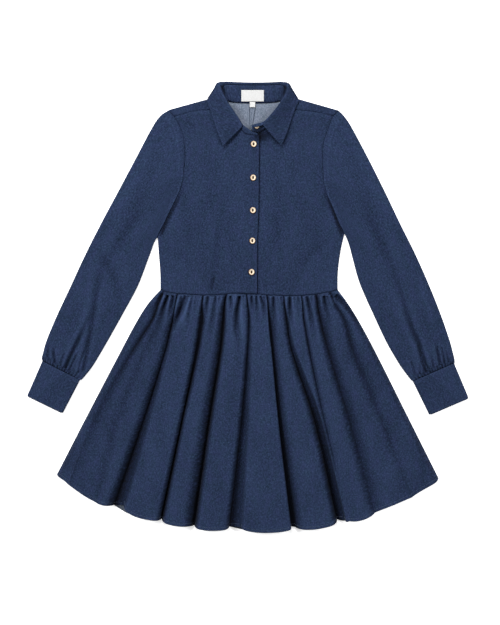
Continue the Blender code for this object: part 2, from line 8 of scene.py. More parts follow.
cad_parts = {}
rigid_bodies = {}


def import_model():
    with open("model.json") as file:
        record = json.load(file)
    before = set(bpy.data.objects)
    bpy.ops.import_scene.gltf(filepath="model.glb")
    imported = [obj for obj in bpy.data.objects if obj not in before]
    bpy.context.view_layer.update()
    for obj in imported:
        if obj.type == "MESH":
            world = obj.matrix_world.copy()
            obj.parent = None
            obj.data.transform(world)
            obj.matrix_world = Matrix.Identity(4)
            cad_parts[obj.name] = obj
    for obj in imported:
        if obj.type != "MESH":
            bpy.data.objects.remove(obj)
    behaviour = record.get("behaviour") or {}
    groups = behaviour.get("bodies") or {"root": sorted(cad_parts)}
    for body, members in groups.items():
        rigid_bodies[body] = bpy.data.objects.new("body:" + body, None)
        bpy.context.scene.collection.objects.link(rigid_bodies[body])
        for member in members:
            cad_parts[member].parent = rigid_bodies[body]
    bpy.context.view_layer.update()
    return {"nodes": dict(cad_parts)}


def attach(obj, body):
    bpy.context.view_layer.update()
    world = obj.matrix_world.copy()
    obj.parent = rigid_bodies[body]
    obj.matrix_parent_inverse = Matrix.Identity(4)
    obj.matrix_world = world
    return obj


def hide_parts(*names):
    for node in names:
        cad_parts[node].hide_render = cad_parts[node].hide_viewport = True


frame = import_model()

# Denim shirt dress laid flat. Tables are in millimetres on the drawing, whose zero lies drawingLift
# from the frame's origin, towards the collar. X runs to the wearer's left sleeve, Y to the collar, Z up.
mm = 0.001
drawingLift = 1.1
clothThickness = 1.1
doubledThickness = 1.9
weldReach = 0.00002          # metres between points that become one
slopeLean = (0.6, 0.3)       # how far the flared skirt's weave leans with its slopes
print("frame loaded:", len(frame["nodes"]), "nodes")

for old in list(bpy.data.objects):
    if old.name in ("Cube", "Light", "Camera"):
        bpy.data.objects.remove(old)


# Small helpers

def mix(a, b, share):
    return a + (b - a) * share


def ease(share):
    share = np.clip(share, 0.0, 1.0)
    return share * share * (3 - 2 * share)


def hump(distance, width):
    return np.exp(-((distance / width) ** 2))


def trail(distance, reach):
    # 1 at a seam or an edge, fading away from it
    return np.exp(-distance / reach)


def ridges(distance, rows):
    # soft ridges and grooves beside a seam or an edge: rows of height, place and width
    return sum(height * hump(distance - at, width) for height, at, width in rows)


def curveAt(places, values, at):
    # a smooth curve through a few values at uneven places, read at many of them
    places, values = np.asarray(places, float), np.asarray(values, float)
    at = np.asarray(at, float)
    forward = 1.0 if places[-1] > places[0] else -1.0
    i = np.clip(np.searchsorted(forward * places, forward * at) - 1, 0, len(places) - 2)
    order = np.arange(len(places))
    low, high = np.maximum(order - 1, 0), np.minimum(order + 1, len(places) - 1)
    shape = (-1,) + (1,) * (values.ndim - 1)
    slope = (values[high] - values[low]) / (places[high] - places[low]).reshape(shape)
    span = places[i + 1] - places[i]
    t = (at - places[i]) / span
    if values.ndim > 1:
        t, span = t[..., None], span[..., None]
    start = (2 * t**3 - 3 * t**2 + 1) * values[i] + (t**3 - 2 * t**2 + t) * span * slope[i]
    end = (3 * t**2 - 2 * t**3) * values[i + 1] + (t**3 - t**2) * span * slope[i + 1]
    return start + end


def lineAt(points, share):
    # straight from point to point, each stretch taking an equal share
    points = np.asarray(points, float)
    reach = np.asarray(share, float) * (len(points) - 1)
    i = np.clip(reach.astype(int), 0, len(points) - 2)
    t = reach - i
    return mix(points[i], points[i + 1], t[..., None] if points.ndim > 1 else t)


def spread(count):
    return np.linspace(0.0, 1.0, count)


def mottle(x, y, size, seed):
    # gentle unevenness that is the same each run, about -1 to 1
    flatX, flatY = np.ravel(x) / size, np.ravel(y) / size
    found = [noise.noise(Vector((a, b, seed))) for a, b in zip(flatX, flatY)]
    return np.array(found).reshape(np.shape(x))


# What a crease has unless its row says otherwise: the shares of its path where it fades in and out, how
# much it widens, and the banks beside it, whose place and width count in crease widths.
creaseShape = {
    "fadeIn": 0.3, "fadeOut": 0.4, "widen": 1.0, "bank": 0.3, "farBank": 0.6, "bankAt": 2.1, "bankWide": 1.3,
    "stretches": 8,
}


def creaseLift(x, y, creases):
    # Soft troughs and ridges along short paths. Each row has a path, its rise, which is below zero for
    # a trough, its width, and what differs from creaseShape.
    lift = np.zeros(np.shape(x))
    for path, rise, width, *own in creases:
        shape = creaseShape | (own[0] if own else {})
        last = len(path) - 1
        line = curveAt(range(last + 1), path, np.linspace(0, last, shape["stretches"] + 1))
        nearest = np.full(np.shape(x), np.inf)
        share = np.zeros(np.shape(x))
        side = np.zeros(np.shape(x))
        for k in range(shape["stretches"]):
            start, step = line[k], line[k + 1] - line[k]
            t = np.clip(((x - start[0]) * step[0] + (y - start[1]) * step[1]) / float(step @ step), 0, 1)
            dx, dy = x - start[0] - t * step[0], y - start[1] - t * step[1]
            distance = np.hypot(dx, dy)
            closer = distance < nearest
            nearest = np.where(closer, distance, nearest)
            share = np.where(closer, (k + t) / shape["stretches"], share)
            side = np.where(closer, np.sign(step[0] * dy - step[1] * dx), side)
        fade = ease(share / shape["fadeIn"]) * ease((1 - share) / shape["fadeOut"])
        wide = width * mix(1.0, shape["widen"], share)
        bankAt, bankWide = shape["bankAt"] * wide, shape["bankWide"] * wide
        across = nearest * side
        banks = hump(across - bankAt, bankWide) + shape["farBank"] * hump(across + bankAt, bankWide)
        lift += rise * fade * (hump(across, wide) - shape["bank"] * banks)
    return lift


# Making and placing the pieces

def weld(piece):
    joined = piece.modifiers.new("Weld", "WELD")
    joined.merge_threshold = weldReach


def makePiece(name, points, faces, materials, places=None):
    # points in millimetres on the drawing, and their places on the cloth where those differ
    points = points * mm + np.array([0.0, drawingLift * mm, 0.0])
    places = points if places is None else places * mm
    mesh = bpy.data.meshes.new(name)
    mesh.from_pydata(points.tolist(), [], faces)
    cloth = mesh.attributes.new("cloth", "FLOAT_VECTOR", "POINT")
    cloth.data.foreach_set("vector", places.astype(np.float32).ravel())
    mesh.shade_smooth()
    for material in materials:
        mesh.materials.append(material)
    piece = bpy.data.objects.new(name, mesh)
    bpy.context.scene.collection.objects.link(piece)
    return piece


def gridMesh(name, grids, materials, thickness=0.0, closed=False, turned=False, wear=None, flared=False):
    # One or more grids of points (rows, columns, 3) become one shell. Each point keeps its place on
    # the cloth, for the weave, and how worn it is with its painted light and shade.
    points, faces, places = [], [], []
    for number, grid in enumerate(grids):
        rows, columns = grid.shape[:2]
        first = sum(len(p) for p in points)
        if flared:
            u, v = grid[..., 0] + slopeLean[0] * grid[..., 2], grid[..., 1] + slopeLean[1] * grid[..., 2]
        else:
            across = np.linalg.norm(np.diff(grid, axis=1), axis=2)
            along = np.linalg.norm(np.diff(grid, axis=0), axis=2)
            u = np.concatenate([np.zeros((rows, 1)), np.cumsum(across, axis=1)], axis=1)
            u -= u[:, columns // 2][:, None]
            v = np.concatenate([np.zeros((1, columns)), np.cumsum(along, axis=0)], axis=0).mean(1)
            v = np.broadcast_to(v[:, None], u.shape)
        mark = np.zeros((rows, columns)) if wear is None else wear[number]
        places.append(np.stack([u, v, mark / mm], -1).reshape(-1, 3))
        points.append(grid.reshape(-1, 3))
        index = first + np.arange(rows * columns).reshape(rows, columns)
        right = np.roll(index, -1, axis=1) if closed else index[:, 1:]
        left = index if closed else index[:, :-1]
        corners = np.stack([left[:-1], right[:-1], right[1:], left[1:]], -1).reshape(-1, 4)
        faces.append(corners[:, ::-1] if turned else corners)
    points, faces, places = (np.concatenate(part) for part in (points, faces, places))
    piece = makePiece(name, points, faces.tolist(), materials, places)
    if len(grids) > 1:
        weld(piece)
    if thickness:
        wall = piece.modifiers.new("Cloth", "SOLIDIFY")
        wall.thickness = thickness * mm
        wall.offset = -1.0
        wall.material_offset = 1 if len(materials) > 1 else 0
    return piece


def place(piece, nodes=()):
    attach(piece, "root")
    if nodes:
        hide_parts(*nodes)
    return piece


# Finishes

def nodeGroup(name, inputs, outputs):
    group = bpy.data.node_groups.new(name, "ShaderNodeTree")
    for socketName, kind, value in inputs:
        socket = group.interface.new_socket(name=socketName, in_out="INPUT", socket_type=kind)
        if value is not None:
            socket.default_value = value
    for socketName, kind in outputs:
        group.interface.new_socket(name=socketName, in_out="OUTPUT", socket_type=kind)
    return group, group.nodes.new("NodeGroupInput"), group.nodes.new("NodeGroupOutput")


def addNode(tree, kind, settings=(), **links):
    # settings are plain values by attribute or input name, links are sockets by input name or number
    node = tree.nodes.new(kind)
    for key, value in dict(settings).items():
        if hasattr(node, key) and key not in node.inputs:
            setattr(node, key, value)
        else:
            node.inputs[key].default_value = value
    for key, source in links.items():
        wanted = int(key[1:]) if key[0] == "n" and key[1:].isdigit() else key.replace("_", " ")
        tree.links.new(source, node.inputs[wanted])
    return node


def maths(tree, operation, *values, clamp=False):
    # values are plain numbers or sockets
    node = tree.nodes.new("ShaderNodeMath")
    node.operation = operation
    node.use_clamp = clamp
    for i, value in enumerate(values):
        if isinstance(value, (int, float)):
            node.inputs[i].default_value = value
        else:
            tree.links.new(value, node.inputs[i])
    return node.outputs[0]


def newMaterial(name):
    material = bpy.data.materials.new(name)
    material.use_nodes = True
    return material, material.node_tree, material.node_tree.nodes["Principled BSDF"]


def setInputs(node, values):
    for socket, value in values.items():
        node.inputs[socket].default_value = value


def colourRamp(tree, share, stops):
    # stops are places and colours, the first at 0 and the last at 1
    ramp = tree.nodes.new("ShaderNodeValToRGB")
    elements = ramp.color_ramp.elements
    elements[0].color = (*stops[0][1], 1)
    elements[-1].color = (*stops[-1][1], 1)
    for at, colour in stops[1:-1]:
        elements.new(at).color = (*colour, 1)
    tree.links.new(share, ramp.inputs[0])
    return ramp.outputs[0]


def relief(tree, shader, height, strength, distance):
    bump = addNode(tree, "ShaderNodeBump", {"Strength": strength, "Distance": distance}, Height=height)
    tree.links.new(bump.outputs[0], shader.inputs["Normal"])


yarn = {
    "threadsPerRib": 3.0, "threadDeep": 0.25, "weftSharp": 3.0,
    # noise scale, stretch, weight, the input that strengthens the layer and the output it also feeds
    "layers": [
        (240.0, (1.0, 0.5, 1.0), 0.55, "Fleck", None),
        (430.0, (1.0, 0.6, 1.0), 1.5, "Fleck", None),
        (560.0, (0.6, 1.0, 1.0), 1.4, "Fleck", "Fleck"),
        (1100.0, (1.0, 1.0, 1.0), 1.0, "Fleck", None),
        (90.0, (1.0, 0.5, 1.0), 1.0, "Cloud", "Hue"),
        (30.0, (1.0, 0.4, 1.0), 1.0, "Cloud", None),
        (9.0, (1.0, 0.7, 1.0), 0.8, "Cloud", None),
    ],
    "noiseDetail": 2.0, "hueShift": 0.04, "paleExtra": 0.7,
}


def twillWeaveGroup():
    # Diagonal twill of fine threads: the warp shows most, the pale weft peeps between its floats
    group, inside, outside = nodeGroup(
        "twillWeave",
        [("Place", "NodeSocketVector", None), ("Thread", "NodeSocketFloat", 0.0006)],
        [("Weft", "NodeSocketFloat"), ("Height", "NodeSocketFloat")],
    )
    split = addNode(group, "ShaderNodeSeparateXYZ", n0=inside.outputs["Place"])
    across = maths(group, "DIVIDE", split.outputs[0], inside.outputs["Thread"])
    along = maths(group, "DIVIDE", split.outputs[1], inside.outputs["Thread"])
    turn = maths(group, "MULTIPLY", maths(group, "ADD", across, along), math.tau / yarn["threadsPerRib"])
    rib = maths(group, "MULTIPLY_ADD", maths(group, "SINE", turn), 0.5, 0.5)
    wave = maths(group, "COSINE", maths(group, "MULTIPLY", across, math.tau))
    thread = maths(group, "MULTIPLY_ADD", wave, yarn["threadDeep"], 1 - yarn["threadDeep"])
    weft = maths(group, "POWER", maths(group, "SUBTRACT", 1.0, rib), yarn["weftSharp"])
    group.links.new(weft, outside.inputs["Weft"])
    group.links.new(maths(group, "MULTIPLY", rib, thread), outside.inputs["Height"])
    return group


def slubGroup():
    # Uneven yarn: short streaks along the warp, finer ones along the weft and soft clouds of dye
    group, inside, outside = nodeGroup(
        "slubYarn",
        [("Place", "NodeSocketVector", None), ("Fleck", "NodeSocketFloat", 1.0),
         ("Cloud", "NodeSocketFloat", 1.0)],
        [(part, "NodeSocketFloat") for part in ("Shade", "Fleck", "Hue")],
    )
    total = 0.0
    for scale, stretch, weight, strength, feeds in yarn["layers"]:
        squeeze = addNode(group, "ShaderNodeVectorMath", {"operation": "MULTIPLY"}, n0=inside.outputs[0])
        squeeze.inputs[1].default_value = stretch
        settings = {"Scale": scale, "Detail": yarn["noiseDetail"]}
        cloud = addNode(group, "ShaderNodeTexNoise", settings, Vector=squeeze.outputs[0])
        centred = maths(group, "SUBTRACT", cloud.outputs[0], 0.5)
        part = maths(group, "MULTIPLY", maths(group, "MULTIPLY", centred, weight), inside.outputs[strength])
        total = maths(group, "ADD", total, part)
        if feeds == "Hue":
            hue = maths(group, "MULTIPLY_ADD", centred, yarn["hueShift"], 0.5)
            group.links.new(hue, outside.inputs["Hue"])
        if feeds == "Fleck":
            group.links.new(total, outside.inputs["Fleck"])
            # pale slubs stand out more than dark ones
            paler = maths(group, "MULTIPLY", maths(group, "MAXIMUM", total, 0.0), yarn["paleExtra"])
            total = maths(group, "ADD", total, paler)
    group.links.new(total, outside.inputs["Shade"])
    return group


def clothMaterial(name, look):
    material, tree, shader = newMaterial(name)
    cloth = addNode(tree, "ShaderNodeAttribute", {"attribute_name": "cloth"})
    split = addNode(tree, "ShaderNodeSeparateXYZ", n0=cloth.outputs["Vector"])
    flat = addNode(tree, "ShaderNodeCombineXYZ", n0=split.outputs[0], n1=split.outputs[1])
    weave = addNode(tree, "ShaderNodeGroup", {"node_tree": groups["weave"]}, Place=flat.outputs[0])
    setInputs(weave, {"Thread": look["thread"]})
    slub = addNode(tree, "ShaderNodeGroup", {"node_tree": groups["slub"]}, Place=flat.outputs[0])
    setInputs(slub, {"Fleck": look["fleck"], "Cloud": look["cloud"]})
    pale = maths(tree, "MULTIPLY_ADD", weave.outputs["Weft"], look["weftShow"], slub.outputs["Shade"])
    # the cloth attribute's third part holds wear and painted light and shade: below zero darker, above
    # lighter
    pale = maths(tree, "ADD", pale, maths(tree, "MULTIPLY", split.outputs[2], look["wear"]))
    pale = maths(tree, "ADD", pale, look["middle"], clamp=True)
    deepest = [part * kept for part, kept in zip(look["dark"], look["deepest"])]
    dye = colourRamp(tree, pale, [(0.0, deepest), (look["darkStop"], look["dark"]), (1.0, look["pale"])])
    tint = addNode(tree, "ShaderNodeHueSaturation", Color=dye, Hue=slub.outputs["Hue"])
    tree.links.new(tint.outputs[0], shader.inputs["Base Color"])
    rough = maths(tree, "MULTIPLY_ADD", slub.outputs["Fleck"], look["fleckRough"], look["rough"])
    tree.links.new(rough, shader.inputs["Roughness"])
    setInputs(shader, {
        "Specular IOR Level": look["gloss"], "Sheen Weight": look["sheen"],
        "Sheen Roughness": look["sheenRough"], "Sheen Tint": (*look["sheenTint"], 1),
    })
    raised = maths(tree, "MULTIPLY", slub.outputs["Fleck"], look["fleckHeight"])
    height = maths(tree, "ADD", weave.outputs["Height"], raised)
    relief(tree, shader, height, look["bump"], look["bumpDistance"])
    return material


groups = {"weave": twillWeaveGroup(), "slub": slubGroup()}
denimLook = {
    # the colour ramp: its colours, its lowest colour as a share of the dark one, which the painted shade in
    # deep valleys reaches, and its middle
    "dark": (0.0057, 0.0108, 0.0290), "pale": (0.0403, 0.0676, 0.1500), "deepest": (0.05, 0.07, 0.12),
    "darkStop": 0.3, "middle": 0.43,
    # how far the weft, the slubs, the clouds of dye and the wear with its painted light and shade move the
    # colour along it
    "weftShow": 0.04, "fleck": 0.28, "cloud": 0.17, "wear": 0.175,
    "thread": 0.0006, "rough": 0.88, "fleckRough": 0.2, "gloss": 0.10, "sheen": 0.02, "sheenRough": 0.5,
    "sheenTint": (0.55, 0.68, 0.95), "bump": 0.35, "bumpDistance": 0.00035, "fleckHeight": 1.6,
}
insideLook = dict(
    denimLook, dark=(0.067, 0.086, 0.124), pale=(0.306, 0.343, 0.418), middle=0.45, fleck=0.22, weftShow=0.06,
    wear=0.3, sheen=0.03,
)
labelLook = dict(
    denimLook, dark=(0.47, 0.47, 0.467), pale=(0.60, 0.60, 0.597), middle=0.70, fleck=0.25, cloud=0.15,
    weftShow=0.05, wear=-1.6, rough=0.6, gloss=0.4, thread=0.0003, sheen=0.0, bump=0.15,
)
denim = clothMaterial("indigoTwill", denimLook)
denimInside = clothMaterial("indigoWrongSide", insideLook)
ribbon = clothMaterial("whiteRibbon", labelLook)
print("cloth finishes made")

# Body shape shared by the bodice, the skirt's seam and the collar
body = {
    "sideHeight": 3.2, "crown": 3.3, "halfWidth": 172.0, "middle": 3.0,
    "waistY": 23.0, "waistSideLift": 9.0, "seamGap": 0.3, "waistPower": 8, "crownPower": 2.5,
    # where the gathers pull the seam up and down: x and how far
    "waistWave": [(-180, 0.0), (-118, -0.6), (-69, -1.6), (-29, 1.8), (4, 1.5), (42, -1.2), (88, -2.6),
                  (134, -0.4), (160, 1.0), (180, 0.0)],
}


def waistY(x):
    share = np.abs((np.asarray(x, float) - body["middle"]) / body["halfWidth"])
    wave = np.array(body["waistWave"])
    pulled = curveAt(wave[:, 0], wave[:, 1], np.clip(x, wave[0, 0], wave[-1, 0]))
    return body["waistY"] + body["waistSideLift"] * share ** body["waistPower"] + pulled


def bodyTop(x):
    share = np.minimum(1.0, np.abs(np.asarray(x, float) - body["middle"]) / body["halfWidth"])
    return body["sideHeight"] + body["crown"] * (1 - share ** body["crownPower"])


# Skirt. Each line is a side or a valley between two folds: its x at the stations, the y of its foot,
# how deep it is at the waist and the hem, how wide its floor is near the waist, halfway and at the
# hem, how high that floor climbs, and how wide the slopes to its left and right are. Then comes the
# fold after it: its height, the y of its hem, and how far it hangs over its right valley.
skirt = {
    "stations": (7.0, -26.0, -85.0, -221.0),
    "waistRise": 4.2, "hemRise": 21.0, "lowest": 2.7, "length": 400.0,
    # rows down the skirt: how far each run reaches and its step; the run of 1.0 takes what is left
    "rowSteps": ((9.0, 0.8), (34.0, 1.5), (60.0, 3.2), (1.0, 6.6), (11.0, 0.85)),
    "foldColumns": 29, "floorColumns": 4, "backRows": 40, "backGap": 0.15,
    "lines": [
        dict(x=(-171.0, -194.2, -215.5, -247.3, -318.3, -373.3), foot=-328.0, depth=(1.00, 1.00),
             floor=(0, 0, 0), climb=0.0, banks=(9, 9), crest=0.42, crestY=-337.2, lap=0),
        dict(x=(-165.0, -174.0, -187.0, -224.0, -300.0, -350.0), foot=-345.5, depth=(1.00, 0.22),
             floor=(0, 0, 0), climb=0.0, banks=(10, 16), crest=0.58, crestY=-365.5, lap=0),
        dict(x=(-157.0, -163.0, -171.6, -200.0, -255.5, -296.0), foot=-381.0, depth=(0.45, 0.34),
             floor=(0, 0, 0), climb=0.0, banks=(14, 18), crest=0.85, crestY=-387.0, lap=2.0),
        dict(x=(-137.5, -141.0, -148.0, -162.0, -205.0, -263.0), foot=-387.0, depth=(0.90, 1.00),
             floor=(2, 10, 21), climb=0.42, banks=(14, 4), crest=1.00, crestY=-412.0, lap=0.5),
        dict(x=(-88.0, -89.5, -93.6, -101.5, -128.5, -169.5), foot=-414.5, depth=(0.95, 1.00),
             floor=(8, 0, 1), climb=0.10, banks=(8, 7), crest=1.00, crestY=-426.5, lap=0.5),
        dict(x=(-42.0, -45.0, -48.5, -54.5, -76.0, -106.5), foot=-427.0, depth=(1.00, 1.00),
             floor=(3, 2, 2), climb=0.05, banks=(19, 7), crest=1.03, crestY=-435.5, lap=1.5),
        dict(x=(-3.0, -1.0, 1.0, -2.0, -13.5, -37.0), foot=-429.5, depth=(0.85, 0.90),
             floor=(4, 12, 23), climb=0.42, banks=(8, 5), crest=1.00, crestY=-439.5, lap=2.5),
        dict(x=(36.0, 38.0, 40.0, 45.0, 58.5, 84.0), foot=-429.5, depth=(1.00, 1.00),
             floor=(3, 4, 8), climb=0.10, banks=(3, 15), crest=1.00, crestY=-432.3, lap=1.5),
        dict(x=(70.0, 71.0, 74.5, 84.0, 128.5, 173.5), foot=-415.5, depth=(0.90, 1.00),
             floor=(4, 13, 15), climb=0.36, banks=(10, 4), crest=0.95, crestY=-418.5, lap=0),
        dict(x=(104.0, 106.0, 109.0, 119.0, 148.0, 196.0), foot=-417.0, depth=(0.95, 0.05),
             floor=(0, 0, 0), climb=0.0, banks=(5, 9), crest=1.00, crestY=-415.0, lap=0),
        dict(x=(132.5, 134.5, 140.5, 156.0, 197.0, 246.0), foot=-402.5, depth=(0.95, 0.55),
             floor=(0, 0, 0), climb=0.0, banks=(13, 20), crest=0.80, crestY=-386.5, lap=0),
        dict(x=(160.0, 168.0, 188.0, 204.0, 259.5, 318.0), foot=-371.5, depth=(0.90, 0.22),
             floor=(0, 0, 0), climb=0.0, banks=(13, 16), crest=0.50, crestY=-355.0, lap=0),
        dict(x=(175.5, 194.4, 215.0, 247.0, 315.0, 372.2), foot=-335.0, depth=(1.00, 1.00),
             floor=(0, 0, 0), climb=0.0, banks=(9, 9), crest=0.0, crestY=0.0, lap=0),
    ],
    # small gathers that start at the seam between the long valleys: path, rise, width, its own shape
    "gathers": [
        ([(-167, 25), (-174, 12), (-184, -6)], -3.6, 2.4),
        ([(-156, 22), (-162, 4), (-170, -20)], -5.6, 2.4),
        ([(-146, 22), (-149, 6), (-152, -14)], -4.4, 2.1),
        ([(-129, 22), (-132, 10), (-136, -4)], -3.4, 1.8),
        ([(-122, 22), (-129, 3), (-140, -24)], -7.5, 2.6, {"fadeOut": 0.5}),
        ([(-115, 22), (-122, 0), (-127, -34)], -4.2, 2.2),
        ([(-108, 22), (-112, 2), (-117, -30)], -3.6, 2.0),
        ([(-101, 21), (-103, 8), (-104, -10)], -3.2, 1.8),
        ([(-96, 21), (-97, 12), (-98, 2)], -2.6, 1.6),
        ([(-77, 21), (-80, 4), (-85, -26)], -5.3, 2.2),
        ([(-70, 21), (-72, 8), (-75, -8)], -3.4, 1.7),
        ([(-63, 21), (-66, 0), (-71, -46)], -5.0, 2.3),
        ([(-55, 21), (-57, 10), (-58, -4)], -3.0, 1.7),
        ([(-34, 21), (-33, 6), (-34, -16)], -4.4, 2.0),
        ([(-27, 21), (-27, 11), (-28, 0)], -2.6, 1.6),
        ([(-16, 21), (-20, -6), (-16, -52)], -6.4, 2.8, {"fadeOut": 0.7}),
        ([(-9, 21), (-9, 12), (-10, 2)], -2.8, 1.6),
        ([(7, 21), (8, 8), (9, -10)], -3.8, 1.9),
        ([(16, 21), (17, 4), (19, -20)], -4.0, 2.0),
        ([(24, 21), (28, 6), (30, -14)], -4.4, 2.0),
        ([(31, 21), (32, 12), (34, 2)], -3.0, 1.7),
        ([(50, 21), (50, 0), (52, -34)], -5.4, 2.4),
        ([(57, 21), (58, 10), (59, -4)], -3.2, 1.8),
        ([(64, 21), (65, 12), (66, 2)], -3.0, 1.7),
        ([(82, 21), (82, 2), (84, -26)], -6.1, 2.3),
        ([(90, 21), (91, 10), (92, -4)], -3.4, 1.8),
        ([(97, 21), (98, 10), (100, -6)], -3.4, 1.8),
        ([(115, 21), (120, -6), (128, -52)], -5.4, 2.5),
        ([(123, 21), (125, 10), (128, -4)], -3.2, 1.8),
        ([(148, 21), (151, 4), (157, -22)], -5.6, 2.4),
        ([(154, 21), (158, 8), (164, -8)], -3.6, 2.0),
        ([(170, 22), (184, 8), (200, -18), (212, -48)], -5.2, 3.4),
    ],
    # long soft undulations on the broad folds
    "creases": [
        ([(-205, -60), (-262, -190), (-318, -310)], -1.6, 11, {"widen": 1.6}),
        ([(-112, -5), (-122, -90), (-150, -190)], -0.9, 7, {"widen": 1.6}),
        ([(-70, -10), (-78, -90), (-100, -200)], -0.8, 7, {"widen": 1.5}),
        ([(-18, -30), (-28, -110), (-44, -210)], 0.7, 7, {"widen": 1.5}),
        ([(20, -2), (22, -90), (24, -210)], -0.7, 8, {"widen": 1.6}),
        ([(58, -4), (68, -90), (90, -210)], 0.7, 7, {"widen": 1.5}),
        ([(122, -30), (150, -120), (190, -250)], -0.9, 8, {"widen": 1.6}),
        ([(176, -40), (205, -110), (255, -215)], -1.3, 9, {"widen": 1.6}),
        ([(214, -60), (262, -160), (320, -280)], -1.2, 10, {"widen": 1.5}),
    ],
    # what every gather has, and how much further, wider and deeper it runs than its row says
    "gatherShape": {"fadeIn": 0.02, "fadeOut": 0.95, "widen": 1.8, "bank": 0.5},
    "gatherReach": 1.7, "gatherWide": 1.2, "gatherDeep": 1.3,
    # a fold: its floor's width at places down the skirt, how its columns crowd to its sides, its flanks'
    # reach at places down the skirt, and its roundness, lean and swing at the hem
    "floorPlaces": (0, 0.03, 0.12, 0.22, 0.55, 1.0), "floorNear": 0.8, "floorBelow": (0.6, 0.3),
    "floorLeast": 0.3, "floorClimb": 6.0, "floorCurve": 1.5, "crowding": (0.15, 0.9), "crowdBy": 0.25,
    "flankPlaces": (0, 0.06, 0.15, 0.45, 1.0), "flankGrows": (0.35, 0.6, 0.8, 1.0, 1.15), "flank": 1.15,
    "flankMost": (0.55, 0.62), "flankCurve": 0.8, "dome": 0.10, "lap": 4.5, "lapCurve": 4, "lapBy": 0.3,
    "deepEnds": (1.3, 0.3), "hemArch": (1.9, 0.85),
    # the cloth near the waist: how far it lies below the bodice, the puff under the seam, its edge
    # turned in, and the row that goes under the bodice
    "seamDepth": 3.4, "seamLeast": 0.3, "settleBy": 0.25,
    "puff": {"height": 2.8, "reach": 30.0, "start": 4.0},
    "gatherStart": 1.5, "creaseStart": 30.0, "edgeDrop": 1.1, "edgeTurn": 1.3,
    "tuck": {"reach": 2.2, "below": 2.4, "least": 1.3},
    # unevenness: height, size, seed and how far below the seam it starts
    "uneven": [(0.35, 46.0, 3.1, 30.0), (0.25, 17.0, 8.7, 6.0)],
    # the hem is double and its stitching pulls in; the side seams round down to the back
    "hem": {"depth": 9.0, "thick": 0.45, "step": 1.5, "drop": 0.5, "round": 0.9, "wander": (0.35, 23.0, 5.5)},
    "hemStitching": [(-0.45, 6.2, 0.9)], "sideHeight": 1.75, "sideRound": 3.2,
    # paler at the hem and the seam; painted shade to the sides, in the folds' valleys and in the gathers'
    # troughs; painted highlights on the gathers' ridges and the folds' crests
    "hemWear": [(0.5, 0.0, 2.2)], "seamWear": [(0.25, 0.0, 3.0)],
    "sideShade": {"dark": 0.25, "flare": 175, "start": 90, "reach": 60},
    "darkFold": 3.3, "darkFade": 2.3, "darkStart": 12.0,
    "gatherDark": 0.28, "gatherHighlight": 0.4, "crestHighlight": 0.2,
    "front": {"flat": (0.98, 0.47), "area": 0.31},
    "back": {"flat": (0.80, 0.46), "area": 0.262},
}


def skirtLineX(line, y):
    places = (float(waistY(line["x"][0])),) + skirt["stations"] + (line["foot"],)
    return curveAt(places, line["x"], y)


def flankRise(distance, width):
    # 0 at the valley to 1 on the fold, steep at first and then rounding over
    t = np.clip(distance / np.maximum(width, 0.1), 0, 1)
    return np.sin(0.5 * math.pi * t) ** skirt["flankCurve"]


def skirtRows():
    # rows close together at the gathers and the hem, wider apart between
    steps = []
    for reach, step in skirt["rowSteps"]:
        rest = skirt["length"] - sum(r for r, _ in skirt["rowSteps"] if r > 1.0)
        steps += [step] * int((rest if reach == 1.0 else reach) / step)
    rows = np.concatenate([[0.0], np.cumsum(steps)])
    return (rows / rows[-1])[:, None]


def hemSwing(first, second):
    # how far the fold's hem hangs below the feet of its two lines
    return first["crestY"] - (first["foot"] + second["foot"]) / 2


